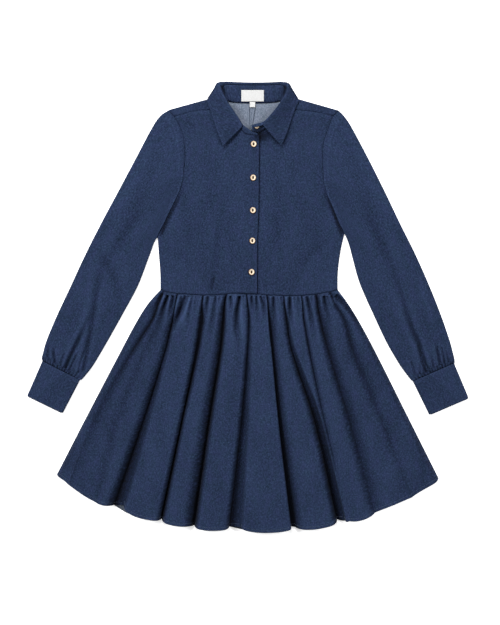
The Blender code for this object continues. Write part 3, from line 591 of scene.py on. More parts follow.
def foldColumns(first, second, v):
    # x, height share, hem y and depth of the fold between two lines, at each v down
    s = np.linspace(0, 1, skirt["foldColumns"])[None, :]
    seam = float(waistY(first["x"][0])), float(waistY(second["x"][0]))
    x0 = skirtLineX(first, mix(seam[0], first["foot"], v))
    x1 = skirtLineX(second, mix(seam[1], second["foot"], v))
    near, halfway, far = first["floor"]
    below = skirt["floorBelow"][0] * near + skirt["floorBelow"][1] * halfway
    floorWide = np.interp(v, skirt["floorPlaces"], (0, 0, skirt["floorNear"] * near, below, halfway, far))
    floorWide = np.maximum(floorWide, skirt["floorLeast"] if any(first["floor"]) else 0.0)
    foot = x0 + floorWide
    across = mix(s, (1 - np.cos(math.pi * s)) / 2, mix(*skirt["crowding"], ease(v / skirt["crowdBy"])))
    x = mix(foot, x1, across)
    reach = skirt["flank"] * np.interp(v, skirt["flankPlaces"], skirt["flankGrows"])
    leftWide = np.minimum(first["banks"][1] * reach, skirt["flankMost"][0] * (x1 - foot))
    rightWide = np.minimum(second["banks"][0] * reach, skirt["flankMost"][1] * (x1 - foot))
    floorLow = 1 - mix(first["depth"][0], first["depth"][1], v)
    lowLeft = floorLow + first["climb"] * ease(floorWide / skirt["floorClimb"])
    lowRight = 1 - mix(second["depth"][0], second["depth"][1], v)
    top = first["crest"] * (1 - skirt["dome"] * (2 * across - 1) ** 2)
    z = top - (top - lowLeft) * (1 - flankRise(x - foot, leftWide))
    z = z - (top - lowRight) * (1 - flankRise(x1 - x, rightWide))
    z = np.maximum(z, np.minimum(lowLeft, lowRight))
    # how deep each place lies in a valley, for the painted shade there
    fromLeft = (1 - lowLeft) * (1 - np.clip((x - foot) / np.maximum(leftWide, 0.1), 0, 1))
    fromRight = (1 - lowRight) * (1 - np.clip((x1 - x) / np.maximum(rightWide, 0.1), 0, 1))
    deep = np.maximum(fromLeft, fromRight)
    lean = skirt["lap"] * first["lap"] * np.sin(math.pi * s) * s ** skirt["lapCurve"]
    x = x + lean * ease(v / skirt["lapBy"])
    # the hem swings out between deep valleys and runs on smoothly past shallow ones
    deepEnds = skirt["deepEnds"][0] * mix(first["depth"][1], second["depth"][1], s) - skirt["deepEnds"][1]
    deepEnds = np.clip(deepEnds, 0, 1)
    arch = np.sin(math.pi * s) ** mix(*skirt["hemArch"], deepEnds)
    hem = mix(first["foot"], second["foot"], mix(across[-1:], s, deepEnds)) + hemSwing(first, second) * arch
    # the valley's floor comes before its fold
    share = np.linspace(0, 1, skirt["floorColumns"], endpoint=False)[None, :]
    floorX, floorZ = mix(x0, foot, share), mix(floorLow, lowLeft, share ** skirt["floorCurve"])
    floorHem = np.full((1, skirt["floorColumns"]), float(first["foot"]))
    floorDeep = mix(1 - floorLow, 1 - lowLeft, share)
    pairs = (floorX, x), (floorZ, z), (floorHem, hem), (floorDeep, deep)
    return [np.concatenate(pair, 1) for pair in pairs]


def gatherRows():
    rows = []
    for path, rise, width, *own in skirt["gathers"]:
        start = np.array(path[0])
        longer = [tuple(start + (np.array(spot) - start) * skirt["gatherReach"]) for spot in path]
        shape = skirt["gatherShape"] | (own[0] if own else {})
        rows.append((longer, rise, width * skirt["gatherWide"], shape))
    return rows


def skirtFrontGrid():
    lines, v = skirt["lines"], skirtRows()
    folds = []
    for k in range(len(lines) - 1):
        start = 0 if any(lines[k]["floor"]) else skirt["floorColumns"]
        end = None if k == len(lines) - 2 else -1
        folds.append([part[:, start:end] for part in foldColumns(lines[k], lines[k + 1], v)])
    x, z, hemLine, deep = (np.concatenate(part, 1) for part in zip(*folds))
    seamX = x[0][None, :]
    seamY = waistY(seamX) - body["seamGap"] / 2
    y = mix(seamY, hemLine, v)
    down, up = seamY - y, (1 - v) * (seamY - hemLine)
    puff, hem, tuck, shade = skirt["puff"], skirt["hem"], skirt["tuck"], skirt["sideShade"]
    seamZ = np.maximum(skirt["lowest"], bodyTop(x) - skirt["seamDepth"])
    rise = mix(skirt["waistRise"], skirt["hemRise"], v**0.5)
    rise = rise + puff["height"] * trail(down, puff["reach"]) * ease(down / puff["start"])
    z = mix(seamZ, skirt["lowest"], np.minimum(1.0, v / skirt["settleBy"])) + rise * z
    gathered = skirt["gatherDeep"] * creaseLift(x, y, gatherRows()) * ease(down / skirt["gatherStart"])
    z = np.maximum(z + gathered, seamZ + skirt["seamLeast"])
    z = z + creaseLift(x, y, skirt["creases"]) * ease(down / skirt["creaseStart"])
    for height, size, seed, start in skirt["uneven"]:
        z = z + height * mottle(x, y, size, seed) * ease(down / start)
    z = mix(z, bodyTop(seamX) - skirt["edgeDrop"], hump(down, skirt["edgeTurn"]))
    z = z + hem["thick"] * ease((hem["depth"] - up) / hem["step"]) + ridges(up, skirt["hemStitching"])
    z = z - hem["drop"] * np.clip(1 - up / hem["round"], 0, 1) ** 2
    height, size, seed = hem["wander"]
    y = y + height * mottle(x, y * 0, size, seed) * ease(v * 4 - 3)
    side = np.minimum(np.abs(x - x[:, :1]), np.abs(x - x[:, -1:]))
    least = skirt["sideHeight"]
    z = np.maximum(mix(z, least, (1 - ease(side / skirt["sideRound"])) ** 2), least)
    wear = ridges(up, skirt["hemWear"]) + ridges(down, skirt["seamWear"])
    # painted shade towards the sides of the skirt
    wear = wear - shade["dark"] * ease((np.abs(x) - shade["flare"] * v - shade["start"]) / shade["reach"])
    # painted shade deep in the folds' valleys
    wear = wear - skirt["darkFold"] * deep ** skirt["darkFade"] * ease(side / skirt["darkStart"])
    # painted shade in the gathers' troughs, painted highlights on their ridges and on the folds' crests
    wear = wear + skirt["gatherDark"] * np.minimum(gathered, 0)
    wear = wear + skirt["gatherHighlight"] * np.maximum(gathered, 0) + skirt["crestHighlight"] * ease(1 - 2 * deep)
    grid = np.stack([x, y, z], -1)
    # one more row goes under the bodice's edge
    under = grid[:1] + np.array([0.0, tuck["reach"], 0.0])
    under[..., 2] = np.maximum(bodyTop(seamX) - tuck["below"], tuck["least"])
    return np.concatenate([under, grid]), np.concatenate([wear[:1], wear])


def skirtBackGrid():
    # flat on the ground, with the front's sides and a hem that follows the front's
    def lineX(line, v):
        return float(skirtLineX(line, mix(float(waistY(line["x"][0])), line["foot"], v)))

    rows = []
    for v in spread(skirt["backRows"]):
        row = []
        for line, other in zip(skirt["lines"][:-1], skirt["lines"][1:]):
            for share in (0.0, 0.25, 0.5, 0.75):
                hem = mix(line["foot"], other["foot"], share)
                hem += hemSwing(line, other) * math.sin(math.pi * share)
                x = mix(lineX(line, v), lineX(other, v), share)
                seamX = x if v == 0 else mix(line["x"][0], other["x"][0], share)
                row.append((x, mix(float(waistY(seamX)), hem, v) - skirt["backGap"], 0.0))
        last = skirt["lines"][-1]
        y = mix(float(waistY(last["x"][0])), last["foot"], v) - skirt["backGap"]
        row.append((float(skirtLineX(last, y)), y, 0.0))
        rows.append(row)
    return np.array(rows)


def buildSkirt():
    grid, wear = skirtFrontGrid()
    cloth = [denim, denimInside]
    front = gridMesh("skirtFront", [grid[::-1]], cloth, clothThickness, wear=[wear[::-1]], flared=True)
    place(front, ["skirt_front"])
    back = gridMesh("skirtBack", [skirtBackGrid()[::-1]], cloth, clothThickness, turned=True)
    place(back, ["skirt_back"])
    return grid


skirtGrid = buildSkirt()
print("skirt made")

# Bodice. Sections go from the waist to the forward shoulder seam: side x and y, then the x and y of
# the front edge, which becomes the neck.
bodice = {
    "right": [
        (-171.0, 32.0, 17.5, 23.0), (-171.5, 67.0, 17.5, 65.0), (-174.5, 106.0, 17.5, 102.0),
        (-176.5, 134.5, 18.0, 134.0), (-166.0, 163.0, 19.5, 163.0), (-149.0, 198.0, 20.5, 196.0),
        (-134.5, 229.0, 21.0, 227.0), (-126.0, 262.0, 21.0, 260.0), (-122.5, 293.5, 21.5, 300.0),
        (-124.0, 317.0, 22.0, 333.5), (-127.5, 336.5, -4.0, 336.5), (-133.5, 354.0, -23.0, 356.0),
        (-144.0, 370.5, -41.0, 384.0),
    ],
    "left": [
        (175.0, 32.0, -1.0, 23.0), (175.5, 67.0, -1.0, 65.0), (180.5, 106.0, -1.0, 102.0),
        (188.0, 142.0, -1.0, 140.0), (179.5, 165.0, -1.0, 168.0), (168.0, 194.0, -1.0, 198.0),
        (156.0, 221.0, -1.0, 228.0), (147.5, 254.5, -1.0, 262.0), (145.0, 286.0, -1.0, 300.0),
        (146.0, 309.0, -1.0, 334.0), (150.0, 328.5, 26.0, 340.0), (157.0, 350.0, 44.0, 357.0),
        (166.0, 371.5, 65.0, 384.0),
    ],
    "rightShoulder": [(-144.0, 370.5), (-117.0, 378.5), (-98.0, 382.0), (-79.0, 383.0), (-41.0, 384.0)],
    "leftShoulder": [(166.0, 371.5), (144.5, 377.0), (128.0, 380.0), (100.0, 383.0), (65.0, 384.0)],
    "rightFold": [(-154.0, 384.3), (-50.5, 412.3)], "leftFold": [(176.0, 383.3), (74.0, 411.8)],
    "backNeck": [(-50.5, 411.5), (-40.0, 401.5), (-20.0, 398.0), (12.0, 397.0), (43.0, 398.0), (63.0, 401.5),
                 (74.0, 411.0)],
    "underarm": 3, "steps": 9, "columns": 78, "lapStep": 2.5, "lapStart": -30.0, "lapEnd": -8.5,
    "back": {"sideSteps": 4, "foldColumns": 25, "neckColumns": 33, "foldTurns": 13, "stripRows": 14,
             "seamGap": 0.4},
    # each seam pulls its edge down and the cloth swells beside it: height, place and width
    "seams": {
        "waist": [(-0.55, 0.0, 1.3), (0.35, 4.0, 2.5)], "top": [(-0.7, 0.0, 1.4), (0.35, 4.5, 2.5)],
        "side": [(-0.7, 0.0, 1.6), (0.3, 5.0, 3.0)], "shoulder": [(0.3, 4.0, 2.5), (-0.5, 0.0, 1.4)],
    },
    "seamWear": {"top": [(0.2, 4.0, 2.5)], "waist": [(0.25, 4.0, 2.5)]},
    "openEdge": {"thick": 0.35, "reach": 6.0, "drop": 0.5, "round": 0.7, "wear": 0.9, "wearReach": 1.2},
    # small puckers rise from the gathers below, with painted shade in them
    "puckers": {"deep": 0.22, "wide": 2.4, "reach": 6.0},
    "puckerDark": {"deep": 0.1, "wide": 2.0, "reach": 4.0},
    # unevenness: height, size, stretch along Y and number of its seed
    "uneven": [(0.45, 50.0, 0.6, 0), (0.26, 17.0, 0.45, 4)], "stripUneven": (0.2, 16.0, 6.4),
    # painted shade in the creases, painted shadow beside the overlap's edge and where the sleeve rolls over
    # the side
    "creaseDark": 0.4, "edgeDark": [(1.5, 0.9, 1.5)], "underSleeve": [(2.2, 4.5, 4.5)],
    "underSleeveFrom": (130.0, 20.0), "underSleeveTo": (248.0, 70.0), "tuck": (0.0, 1.6, -1.3),
    "creasesRight": [
        ([(-64, 66), (-69, 47), (-71, 28)], -3.0, 3.0, {"fadeIn": 0.4, "fadeOut": 0.3}),
        ([(-55, 169), (-62, 100), (-70, 40)], -0.9, 7.0),
        ([(-125, 364), (-112, 355), (-99, 346)], -1.0, 3.0),
        ([(-120, 300), (-95, 200), (-90, 90)], 0.8, 12.0),
        ([(-160, 120), (-120, 90), (-100, 50)], -0.6, 9.0),
        ([(-20, 290), (-24, 200), (-20, 80)], 0.5, 10.0),
    ],
    "creasesLeft": [
        ([(32, 52), (34, 36), (36, 24)], -1.4, 3.0),
        ([(130, 330), (110, 250), (100, 140)], 0.8, 12.0),
        ([(160, 130), (120, 100), (100, 60)], -0.8, 9.0),
        ([(60, 280), (56, 180), (60, 60)], -0.5, 10.0),
        ([(150, 60), (142, 90), (140, 130)], -0.6, 5.0),
    ],
    "neckShadow": {"at": (27.0, 333.0), "size": 10.0, "wide": 1.5, "dark": 2.2},
    "frontRight": {"flat": (0.20, 0.365), "area": 0.0570},
    "frontLeft": {"flat": (0.20, 0.365), "area": 0.0585},
    "backSheet": {"flat": (0.37, 0.42), "area": 0.122},
}


def lapTop(x):
    share = (np.asarray(x, float) - bodice["lapStart"]) / (bodice["lapEnd"] - bodice["lapStart"])
    return bodyTop(x) + bodice["lapStep"] * ease(share)


def sideLine(sections, steps):
    # the side seam and then the armhole, each a smooth curve, from the waist seam up
    points = np.array([row[:2] for row in sections])
    points[0, 1] = waistY(points[0, 0]) + body["seamGap"] / 2
    corner = bodice["underarm"]
    low = curveAt(range(corner + 1), points[: corner + 1], np.linspace(0, corner, corner * steps + 1))
    count = len(points) - 1 - corner
    high = curveAt(range(count + 1), points[corner:], np.linspace(0, count, count * steps + 1))
    return np.concatenate([low[:-1], high])


def coonsPatch(bottom, top, left, right, u, v):
    # a surface between four edges, each given at every u or every v
    u, v = u[None, :, None], v[:, None, None]
    across = mix(bottom[None], top[None], v)
    up = mix(left[:, None], right[:, None], u)
    corners = mix(mix(bottom[0], bottom[-1], u), mix(top[0], top[-1], u), v)
    return across + up - corners


def seamLine(start, end, u):
    points = mix(np.array(start), np.array(end), u[:, None])
    points[:, 1] = waistY(points[:, 0]) + body["seamGap"] / 2
    return points


def puckers(x, fromSeam, spec):
    below = sum(rise * hump(x - path[0][0], spec["wide"]) for path, rise, *_ in skirt["gathers"])
    return spec["deep"] * below * trail(fromSeam, spec["reach"])


def frontGrid(sections, shoulder, height, creases, seed):
    side = sideLine(sections, bodice["steps"])
    v = spread(len(side))
    edge = lineAt([row[2:] for row in sections], v)
    edge[0, 1] = waistY(edge[0, 0]) + body["seamGap"] / 2
    u = mix(spread(bodice["columns"]), ease(spread(bodice["columns"])), 0.5)
    top = curveAt(range(len(shoulder)), shoulder, u * (len(shoulder) - 1))
    flat = coonsPatch(seamLine(side[0], edge[0], u), top, side, edge, u, v)
    x, y = flat[..., 0], flat[..., 1]
    creased = creaseLift(x, y, creases)
    z = height(x) + creased
    for high, size, stretch, number in bodice["uneven"]:
        z = z + high * mottle(x, stretch * y, size, seed + number)
    fromWaist = y - waistY(x)
    edges = flat[:, :1], flat[:, -1:], flat[-1:]
    fromSide, fromEdge, fromTop = (np.linalg.norm(flat - line, axis=2) for line in edges)
    seams, seamWear, rim = bodice["seams"], bodice["seamWear"], bodice["openEdge"]
    z = z + puckers(x, fromWaist, bodice["puckers"])
    z = z + ridges(fromWaist, seams["waist"]) + ridges(fromTop, seams["top"])
    z = z + ridges(fromSide, seams["side"])
    z = z + rim["thick"] * np.exp(-((fromEdge / rim["reach"]) ** 4))
    z = z - rim["drop"] * hump(fromEdge, rim["round"])
    # paler at the open edge, painted shade in the puckers
    wear = rim["wear"] * trail(fromEdge, rim["wearReach"]) + puckers(x, fromWaist, bodice["puckerDark"])
    wear = wear + ridges(fromTop, seamWear["top"]) + ridges(fromWaist, seamWear["waist"])
    # painted shade in the creases
    wear = wear + bodice["creaseDark"] * np.minimum(creased, 0)
    # the sleeve rolls over the lower armhole, and its shadow on the side is painted
    (low, lowBy), (high, highBy) = bodice["underSleeveFrom"], bodice["underSleeveTo"]
    under = ease((y - low) / lowBy) * ease((high - y) / highBy)
    wear = wear - under * ridges(fromSide, bodice["underSleeve"])
    spot = bodice["neckShadow"]
    fromSpot = np.hypot((x - spot["at"][0]) / spot["wide"], y - spot["at"][1])
    wear = wear - spot["dark"] * hump(fromSpot, spot["size"])
    # one more row goes under the shoulder seam
    grid = np.stack([x, y, z], -1)
    return np.concatenate([grid, grid[-1:] + np.array(bodice["tuck"])]), np.concatenate([wear, wear[-1:]])


def buildFronts():
    grid, wear = frontGrid(bodice["left"], bodice["leftShoulder"], bodyTop, bodice["creasesLeft"], 2.3)
    # painted shadow beside the overlap's edge
    edge = np.array([row[2:] for row in bodice["right"][:10]])
    wear = wear - ridges(grid[..., 0] - np.interp(grid[..., 1], edge[:, 1], edge[:, 0]), bodice["edgeDark"])
    left = gridMesh("bodiceFrontLeft", [grid], [denim, denimInside], clothThickness, turned=True, wear=[wear])
    place(left, ["bodice_front_left"])
    grid, wear = frontGrid(bodice["right"], bodice["rightShoulder"], lapTop, bodice["creasesRight"], 7.9)
    right = gridMesh("bodiceFrontRight", [grid], [denim, denimInside], clothThickness, wear=[wear])
    place(right, ["bodice_front_right"])


def awayFrom(fold):
    step = np.array(fold[1]) - np.array(fold[0])
    out = np.array([-abs(step[1]) * math.copysign(1, step[0]), abs(step[0])])
    return out / np.linalg.norm(out)


def shoulderStrip(foldRow, seam, outward):
    # the back's shoulder edge goes round the fold and down to the forward seam
    spec = bodice["back"]
    radii = (bodyTop(foldRow[:, 0]) / 2)[:, None]
    rows = []
    for turn in np.radians(np.linspace(0, 180, spec["foldTurns"])):
        out = foldRow[:, :2] + outward * radii * math.sin(turn)
        rows.append(np.concatenate([out, radii * (1 - math.cos(turn))], 1))
    u = spread(len(foldRow)) * (len(seam) - 1)
    end = curveAt(range(len(seam)), seam, u) + np.array([0, spec["seamGap"]])
    end = np.concatenate([end, bodyTop(end[:, 0])[:, None]], 1)
    folded = rows[-1]
    height, size, seed = bodice["stripUneven"]
    for share in spread(spec["stripRows"])[1:]:
        row = mix(folded, end, share)
        row[:, 2] += ridges(np.linalg.norm(end - row, axis=1), bodice["seams"]["shoulder"])
        row[:, 2] += height * mottle(row[:, 0], row[:, 1], size, seed) * ease(4 * share)
        rows.append(row)
    return np.array(rows)


def buildBack():
    spec = bodice["back"]
    outRight, outLeft = awayFrom(bodice["rightFold"]), awayFrom(bodice["leftFold"])
    rightFold = [np.array(p) - outRight * bodyTop(p[0]) / 2 for p in bodice["rightFold"]]
    leftFold = [np.array(p) - outLeft * bodyTop(p[0]) / 2 for p in bodice["leftFold"]]
    neck = [rightFold[1]] + [np.array(p) for p in bodice["backNeck"][1:-1]] + [leftFold[1]]
    shoulderU, neckU = spread(spec["foldColumns"]), spread(spec["neckColumns"])
    top = np.concatenate([
        lineAt(rightFold, shoulderU), lineAt(neck, neckU[1:-1]), lineAt(leftFold, 1 - shoulderU),
    ])
    sideRight = np.concatenate([sideLine(bodice["right"], spec["sideSteps"]), top[:1]])
    sideLeft = np.concatenate([sideLine(bodice["left"], spec["sideSteps"]), top[-1:]])
    u, v = spread(len(top)), spread(len(sideRight))
    flat = coonsPatch(seamLine(sideRight[0], sideLeft[0], u), top, sideRight, sideLeft, u, v)
    panel = np.concatenate([flat, np.zeros(flat.shape[:2] + (1,))], 2)
    columns = spec["foldColumns"]
    rightStrip = shoulderStrip(panel[-1, :columns], bodice["rightShoulder"], outRight)
    leftStrip = shoulderStrip(panel[-1, :-columns - 1:-1], bodice["leftShoulder"], outLeft)[:, ::-1]
    grids = [panel, rightStrip, leftStrip]
    back = gridMesh("bodiceBack", grids, [denim, denimInside], clothThickness, turned=True)
    place(back, ["bodice_back"])


buildBack()
buildFronts()
print("bodice made")

# Sleeves: rings from the armhole to the cuff seam, outer x and y, inner x and y, how much of the
# armhole's curve is kept and how full the tube is. Gathers are at a share of the cuff seam.
sleeves = {
    "right": [
        (-155.4, 382.4, -178.0, 133.5, 1.00, 1.0), (-171.5, 371.0, -179.5, 131.5, 0.88, 1.0),
        (-187.5, 348.0, -181.5, 128.0, 0.74, 1.0), (-220.5, 285.5, -184.5, 122.0, 0.50, 1.0),
        (-253.5, 223.0, -188.5, 111.0, 0.28, 1.0), (-286.5, 161.0, -195.0, 94.0, 0.10, 1.0),
        (-318.0, 98.5, -216.0, 40.0, 0.00, 1.0), (-347.0, 36.0, -247.5, -18.5, 0.00, 1.0),
        (-372.5, -18.5, -277.0, -71.0, 0.00, 1.0), (-392.0, -65.0, -302.5, -114.0, 0.00, 1.1),
        (-399.0, -89.0, -317.0, -133.0, 0.00, 1.2), (-402.0, -101.0, -325.0, -142.0, 0.00, 1.2),
        (-401.0, -106.0, -328.5, -143.2, 0.00, 1.15),
    ],
    "left": [
        (177.4, 381.4, 189.2, 141.0, 1.00, 1.0), (188.0, 370.5, 190.6, 138.0, 0.88, 1.0),
        (203.0, 348.0, 192.6, 133.5, 0.74, 1.0), (236.0, 285.5, 195.8, 125.5, 0.50, 1.0),
        (267.0, 223.0, 199.8, 113.0, 0.28, 1.0), (296.5, 161.0, 204.4, 96.0, 0.10, 1.0),
        (327.5, 98.5, 219.0, 45.5, 0.00, 1.0), (355.0, 36.0, 246.5, -17.0, 0.00, 1.0),
        (376.5, -18.5, 271.0, -69.0, 0.00, 1.0), (392.5, -65.0, 296.0, -112.0, 0.00, 1.1),
        (399.0, -89.0, 311.0, -133.0, 0.00, 1.2), (402.5, -104.0, 319.0, -143.0, 0.00, 1.2),
        (402.5, -110.0, 322.0, -145.2, 0.00, 1.15),
    ],
    "edge": 4.6, "crown": 1.9, "armholeGap": 1.2, "armholeSteps": 2, "spare": (1.0, 0.8),
    "top": 64, "bottom": 14, "end": 8, "runs": [(0, 2, 25), (2, 9, 83), (9, 12, 61)],
    # sewn down at the upper armhole with a soft ridge beyond, rolled over the bodice lower down
    "sewnTo": 0.50, "sewnBy": 0.14, "sewnDip": (2.6, 5.0),
    "sewnRidges": [(0.45, 12.5, 3.6), (-0.4, 22.0, 5.0)],
    "rolledEdge": [(2.4, 0.0, 1.5)], "overhang": 4.4, "overhangReach": 2.0, "overhangEnd": 0.12,
    # the puff above the cuff: height, reach and start; then the puckers with their painted shade, and on the
    # next line painted shade in the creases and painted highlights on their ridges
    "cuffPuff": (1.2, 9.0, 1.5), "puckerWide": 1.7, "puckerDeep": 2.4, "puckerDark": 1.7, "creaseStart": 12.0,
    "uneven": [(0.4, 42.0, 0), (0.2, 15.0, 3)], "unevenStart": 14.0, "creaseDark": 0.4, "creaseHighlight": 0.3,
    "cuffWear": (0.3, 3.0), "rolledWear": [(0.45, 3.0, 2.0)], "sewnWear": [(0.25, 12.0, 3.5)],
    # the rows that go under the bodice and into the cuff
    "tuck": (0.5, 1.7), "tuckHeight": 2.2, "intoCuff": 2.2, "cuffMiddle": (3.0, 0.12),
    # long creases from the cuff seam and soft ones over the sleeve: path, rise, width, its own shape
    "rightCreases": [
        ([(-376, -112), (-379, -94), (-379, -76)], -2.6, 2.2, {"fadeIn": 0.03, "bank": 0.5}),
        ([(-357, -122), (-342, -88), (-318, -40), (-300, 10)], -3.8, 2.6,
         {"fadeIn": 0.03, "fadeOut": 0.6, "widen": 1.9, "bank": 0.6}),
        ([(-349, -126), (-339, -104), (-329, -84)], -2.4, 1.8, {"fadeIn": 0.03, "bank": 0.5}),
        ([(-323, -132), (-308, -50), (-292, 50), (-280, 120)], -3.0, 3.4,
         {"fadeIn": 0.04, "fadeOut": 0.8, "widen": 2.2, "bank": 0.5}),
        ([(-331, -130), (-325, -104), (-315, -74)], -2.4, 2.0, {"fadeIn": 0.03, "bank": 0.5}),
        ([(-366, -117), (-362, -102), (-355, -84)], -2.0, 1.8, {"fadeIn": 0.03, "bank": 0.5}),
        ([(-388, -108), (-391, -92), (-388, -70)], -2.0, 2.0, {"fadeIn": 0.03, "bank": 0.5}),
        ([(-300, 120), (-262, 60), (-250, 0)], -0.9, 9.0),
        ([(-180, 330), (-225, 240), (-270, 150)], 0.9, 10.0),
        ([(-200, 200), (-250, 130), (-300, 40)], -1.0, 9.0),
    ],
    "leftCreases": [
        ([(348, -130), (339, -100), (335, -78), (321, -46), (302, 10), (287, 60), (270, 120)], -4.4, 3.6,
         {"fadeIn": 0.02, "fadeOut": 0.85, "widen": 1.9, "bank": 0.5}),
        ([(353, -123), (346, -108), (342, -88)], -2.6, 1.8, {"fadeIn": 0.03, "bank": 0.6}),
        ([(375, -116), (371, -92), (366, -66)], -3.0, 2.8, {"fadeIn": 0.05, "bank": 0.6}),
        ([(383, -113), (381, -94), (375, -72)], -2.4, 2.2, {"fadeIn": 0.03, "bank": 0.5}),
        ([(335, -133), (336, -122), (334, -108)], -2.2, 1.8, {"fadeIn": 0.03, "bank": 0.5}),
        ([(362, -120), (360, -108), (357, -94)], -2.0, 1.7, {"fadeIn": 0.03, "bank": 0.5}),
        ([(391, -110), (389, -98), (384, -82)], -2.0, 1.8, {"fadeIn": 0.03, "bank": 0.5}),
        ([(326, -137), (322, -118), (314, -96)], -1.6, 2.2, {"fadeIn": 0.03, "bank": 0.5}),
        ([(205, 330), (240, 250), (285, 150)], 0.9, 10.0),
        ([(225, 200), (262, 120), (300, 30)], -1.0, 9.0),
        ([(330, 60), (352, 0), (368, -60)], 0.9, 7.0),
    ],
    # little puckers at the cuff seam: share of its width, depth and reach
    "gathers": [
        (0.05, 1.0, 5), (0.10, 1.3, 7), (0.16, 0.9, 5), (0.22, 1.2, 8), (0.29, 1.4, 9), (0.34, 0.9, 5),
        (0.40, 1.3, 8), (0.46, 1.0, 5), (0.52, 1.2, 7), (0.58, 1.4, 9), (0.64, 0.9, 5), (0.70, 1.3, 8),
        (0.77, 1.1, 6), (0.84, 1.3, 8), (0.91, 1.0, 6),
    ],
    "sheet": {"flat": (0.38, 0.62), "area": 0.108},
}
cuffs = {
    "right": [(-401.6, -106.5, -328.0, -143.8), (-431.8, -175.2, -362.0, -209.2)],
    "left": [(402.5, -110.8, 321.8, -146.0), (431.4, -179.4, 354.4, -212.4)],
    "edge": 6.0, "crown": 0.6, "rows": 44, "top": 56, "bottom": 12, "end": 8, "cornerRadius": 3.2,
    "uneven": (0.18, 16.0, 4.4), "hemStitching": [(-0.5, 5.0, 0.8), (0.35, 2.0, 2.0)],
    "seamStitching": [(-0.5, 4.0, 0.8), (-0.6, 0.0, 0.8)], "hemRound": (0.35, 0.9),
    "hemWear": (0.5, 2.0), "seamWear": (0.3, 2.0),
    "sheet": {"flat": (0.165, 0.075), "area": 0.0121},
}


def tubeShares(width, edge, top, bottom, end):
    # places and heights round a flattened tube whose ends are half circles, for each ring's width
    radius = edge / 2
    margin = radius / width
    turn = math.pi * (np.linspace(0, 1, end + 1) - 0.5)[None]
    inner = (np.arange(1, top + 1) / (top + 1))[None]
    lower = 1 - (np.arange(1, bottom + 1) / (bottom + 1))[None]
    shares = [
        margin * (1 - np.cos(turn)), mix(margin, 1 - margin, inner),
        1 - margin * (1 - np.cos(turn)), mix(margin, 1 - margin, lower),
    ]
    heights = [
        radius * (1 + np.sin(turn)), 2 * radius + 0 * inner, radius * (1 + np.sin(-turn)), 0 * radius * lower,
    ]
    return np.concatenate(shares, 1), np.concatenate(heights, 1)


def sleeveGrid(rings, sections, creases, seed):
    spec, table = sleeves, np.array(rings)
    runs = [np.linspace(low, high, steps, endpoint=False) for low, high, steps in spec["runs"]]
    at = curveAt(range(len(table)), table, np.concatenate(runs + [[spec["runs"][-1][1]]]))
    outer, inner, keep, fill = at[:, 0:2], at[:, 2:4], at[:, 4:5], at[:, 5:6]
    outward = (outer - inner) / np.linalg.norm(outer - inner, axis=1, keepdims=True)
    outer, inner = outer + spec["spare"][0] * outward, inner - spec["spare"][1] * outward * (1 - keep)
    steps, away = spec["armholeSteps"], math.copysign(1, table[0, 2])
    armhole = sideLine(sections, steps)[: steps * bodice["underarm"] - 1: -1]
    first, last = table[0, 0:2], table[0, 2:4]
    line = np.concatenate([[first], armhole[:-1] + np.array([away * spec["armholeGap"], 0]), [last]])
    width = np.linalg.norm(inner - outer, axis=1)[:, None]
    thick = spec["edge"] * fill
    shares, heights = tubeShares(width, thick, spec["top"], spec["bottom"], spec["end"])
    smooth = curveAt(range(len(line)), line, np.clip(shares, 0, 1) * (len(line) - 1))
    bend = (smooth - mix(first, last, shares[..., None])) * keep[..., None]
    flat = mix(outer[:, None], inner[:, None], shares[..., None]) + bend
    x, y = flat[..., 0], flat[..., 1]
    onTop = np.clip(heights / thick * 2 - 1, 0, 1)
    middle = np.clip(np.sin(math.pi * np.clip(shares, 0, 1)), 0, 1)
    z = heights + spec["crown"] * fill * middle * onTop
    gaps = np.linalg.norm(np.diff(flat, axis=0), axis=2)
    down = np.concatenate([np.zeros((1, x.shape[1])), np.cumsum(gaps, 0)])
    toCuff = down[-1:] - down
    sewn = 1 - ease((shares - spec["sewnTo"]) / spec["sewnBy"])
    rolled = 1 - sewn
    dip, reach = spec["sewnDip"]
    z = z + onTop * sewn * (ridges(down, spec["sewnRidges"]) - dip * trail(down, reach))
    z = z - onTop * rolled * ridges(down, spec["rolledEdge"])
    lobe = down / spec["overhangReach"]
    overhang = spec["overhang"] * lobe * np.exp(1 - lobe) * ease((1 - shares) / spec["overhangEnd"])
    x = x - away * overhang * rolled * onTop
    wear = 0 * x
    for where, depth, reach in spec["gathers"]:
        across = np.abs(shares - where) * width
        pucker = onTop * depth * hump(across, spec["puckerWide"]) * trail(toCuff, reach)
        z = z - spec["puckerDeep"] * pucker
        # painted shade in the pucker
        wear = wear - spec["puckerDark"] * pucker
    height, reach, start = spec["cuffPuff"]
    z = z + onTop * height * trail(toCuff, reach) * ease(toCuff / start)
    creased = onTop * creaseLift(x, y, creases) * ease(down / spec["creaseStart"])
    uneven = sum(height * mottle(x, y, size, seed + number) for height, size, number in spec["uneven"])
    z = z + creased + onTop * ease(down / spec["unevenStart"]) * uneven
    # painted shade in the creases and painted highlights on their ridges
    wear = wear + spec["creaseDark"] * np.minimum(creased, 0) + spec["creaseHighlight"] * np.clip(creased, 0, 1)
    pale, reach = spec["cuffWear"]
    wear = wear + pale * trail(toCuff, reach) + onTop * rolled * ridges(down, spec["rolledWear"])
    wear = wear + onTop * sewn * ridges(down, spec["sewnWear"])
    # one more row goes under the bodice's edge and one into the cuff
    grid = np.stack([x, y, z], -1)
    tuck = grid[:1].copy()
    tuck[..., 0] -= away * (spec["tuck"][0] + spec["tuck"][1] * onTop[:1])
    tuck[..., 2] = mix(tuck[..., 2], spec["tuckHeight"], onTop[:1])
    end = grid[-1:] + spec["intoCuff"] * (grid[-1:] - grid[-3:-2])
    end[..., 2] = mix(grid[-1:, :, 2], *spec["cuffMiddle"])
    return np.concatenate([tuck, grid, end]), np.concatenate([wear[:1], wear, wear[-1:]])


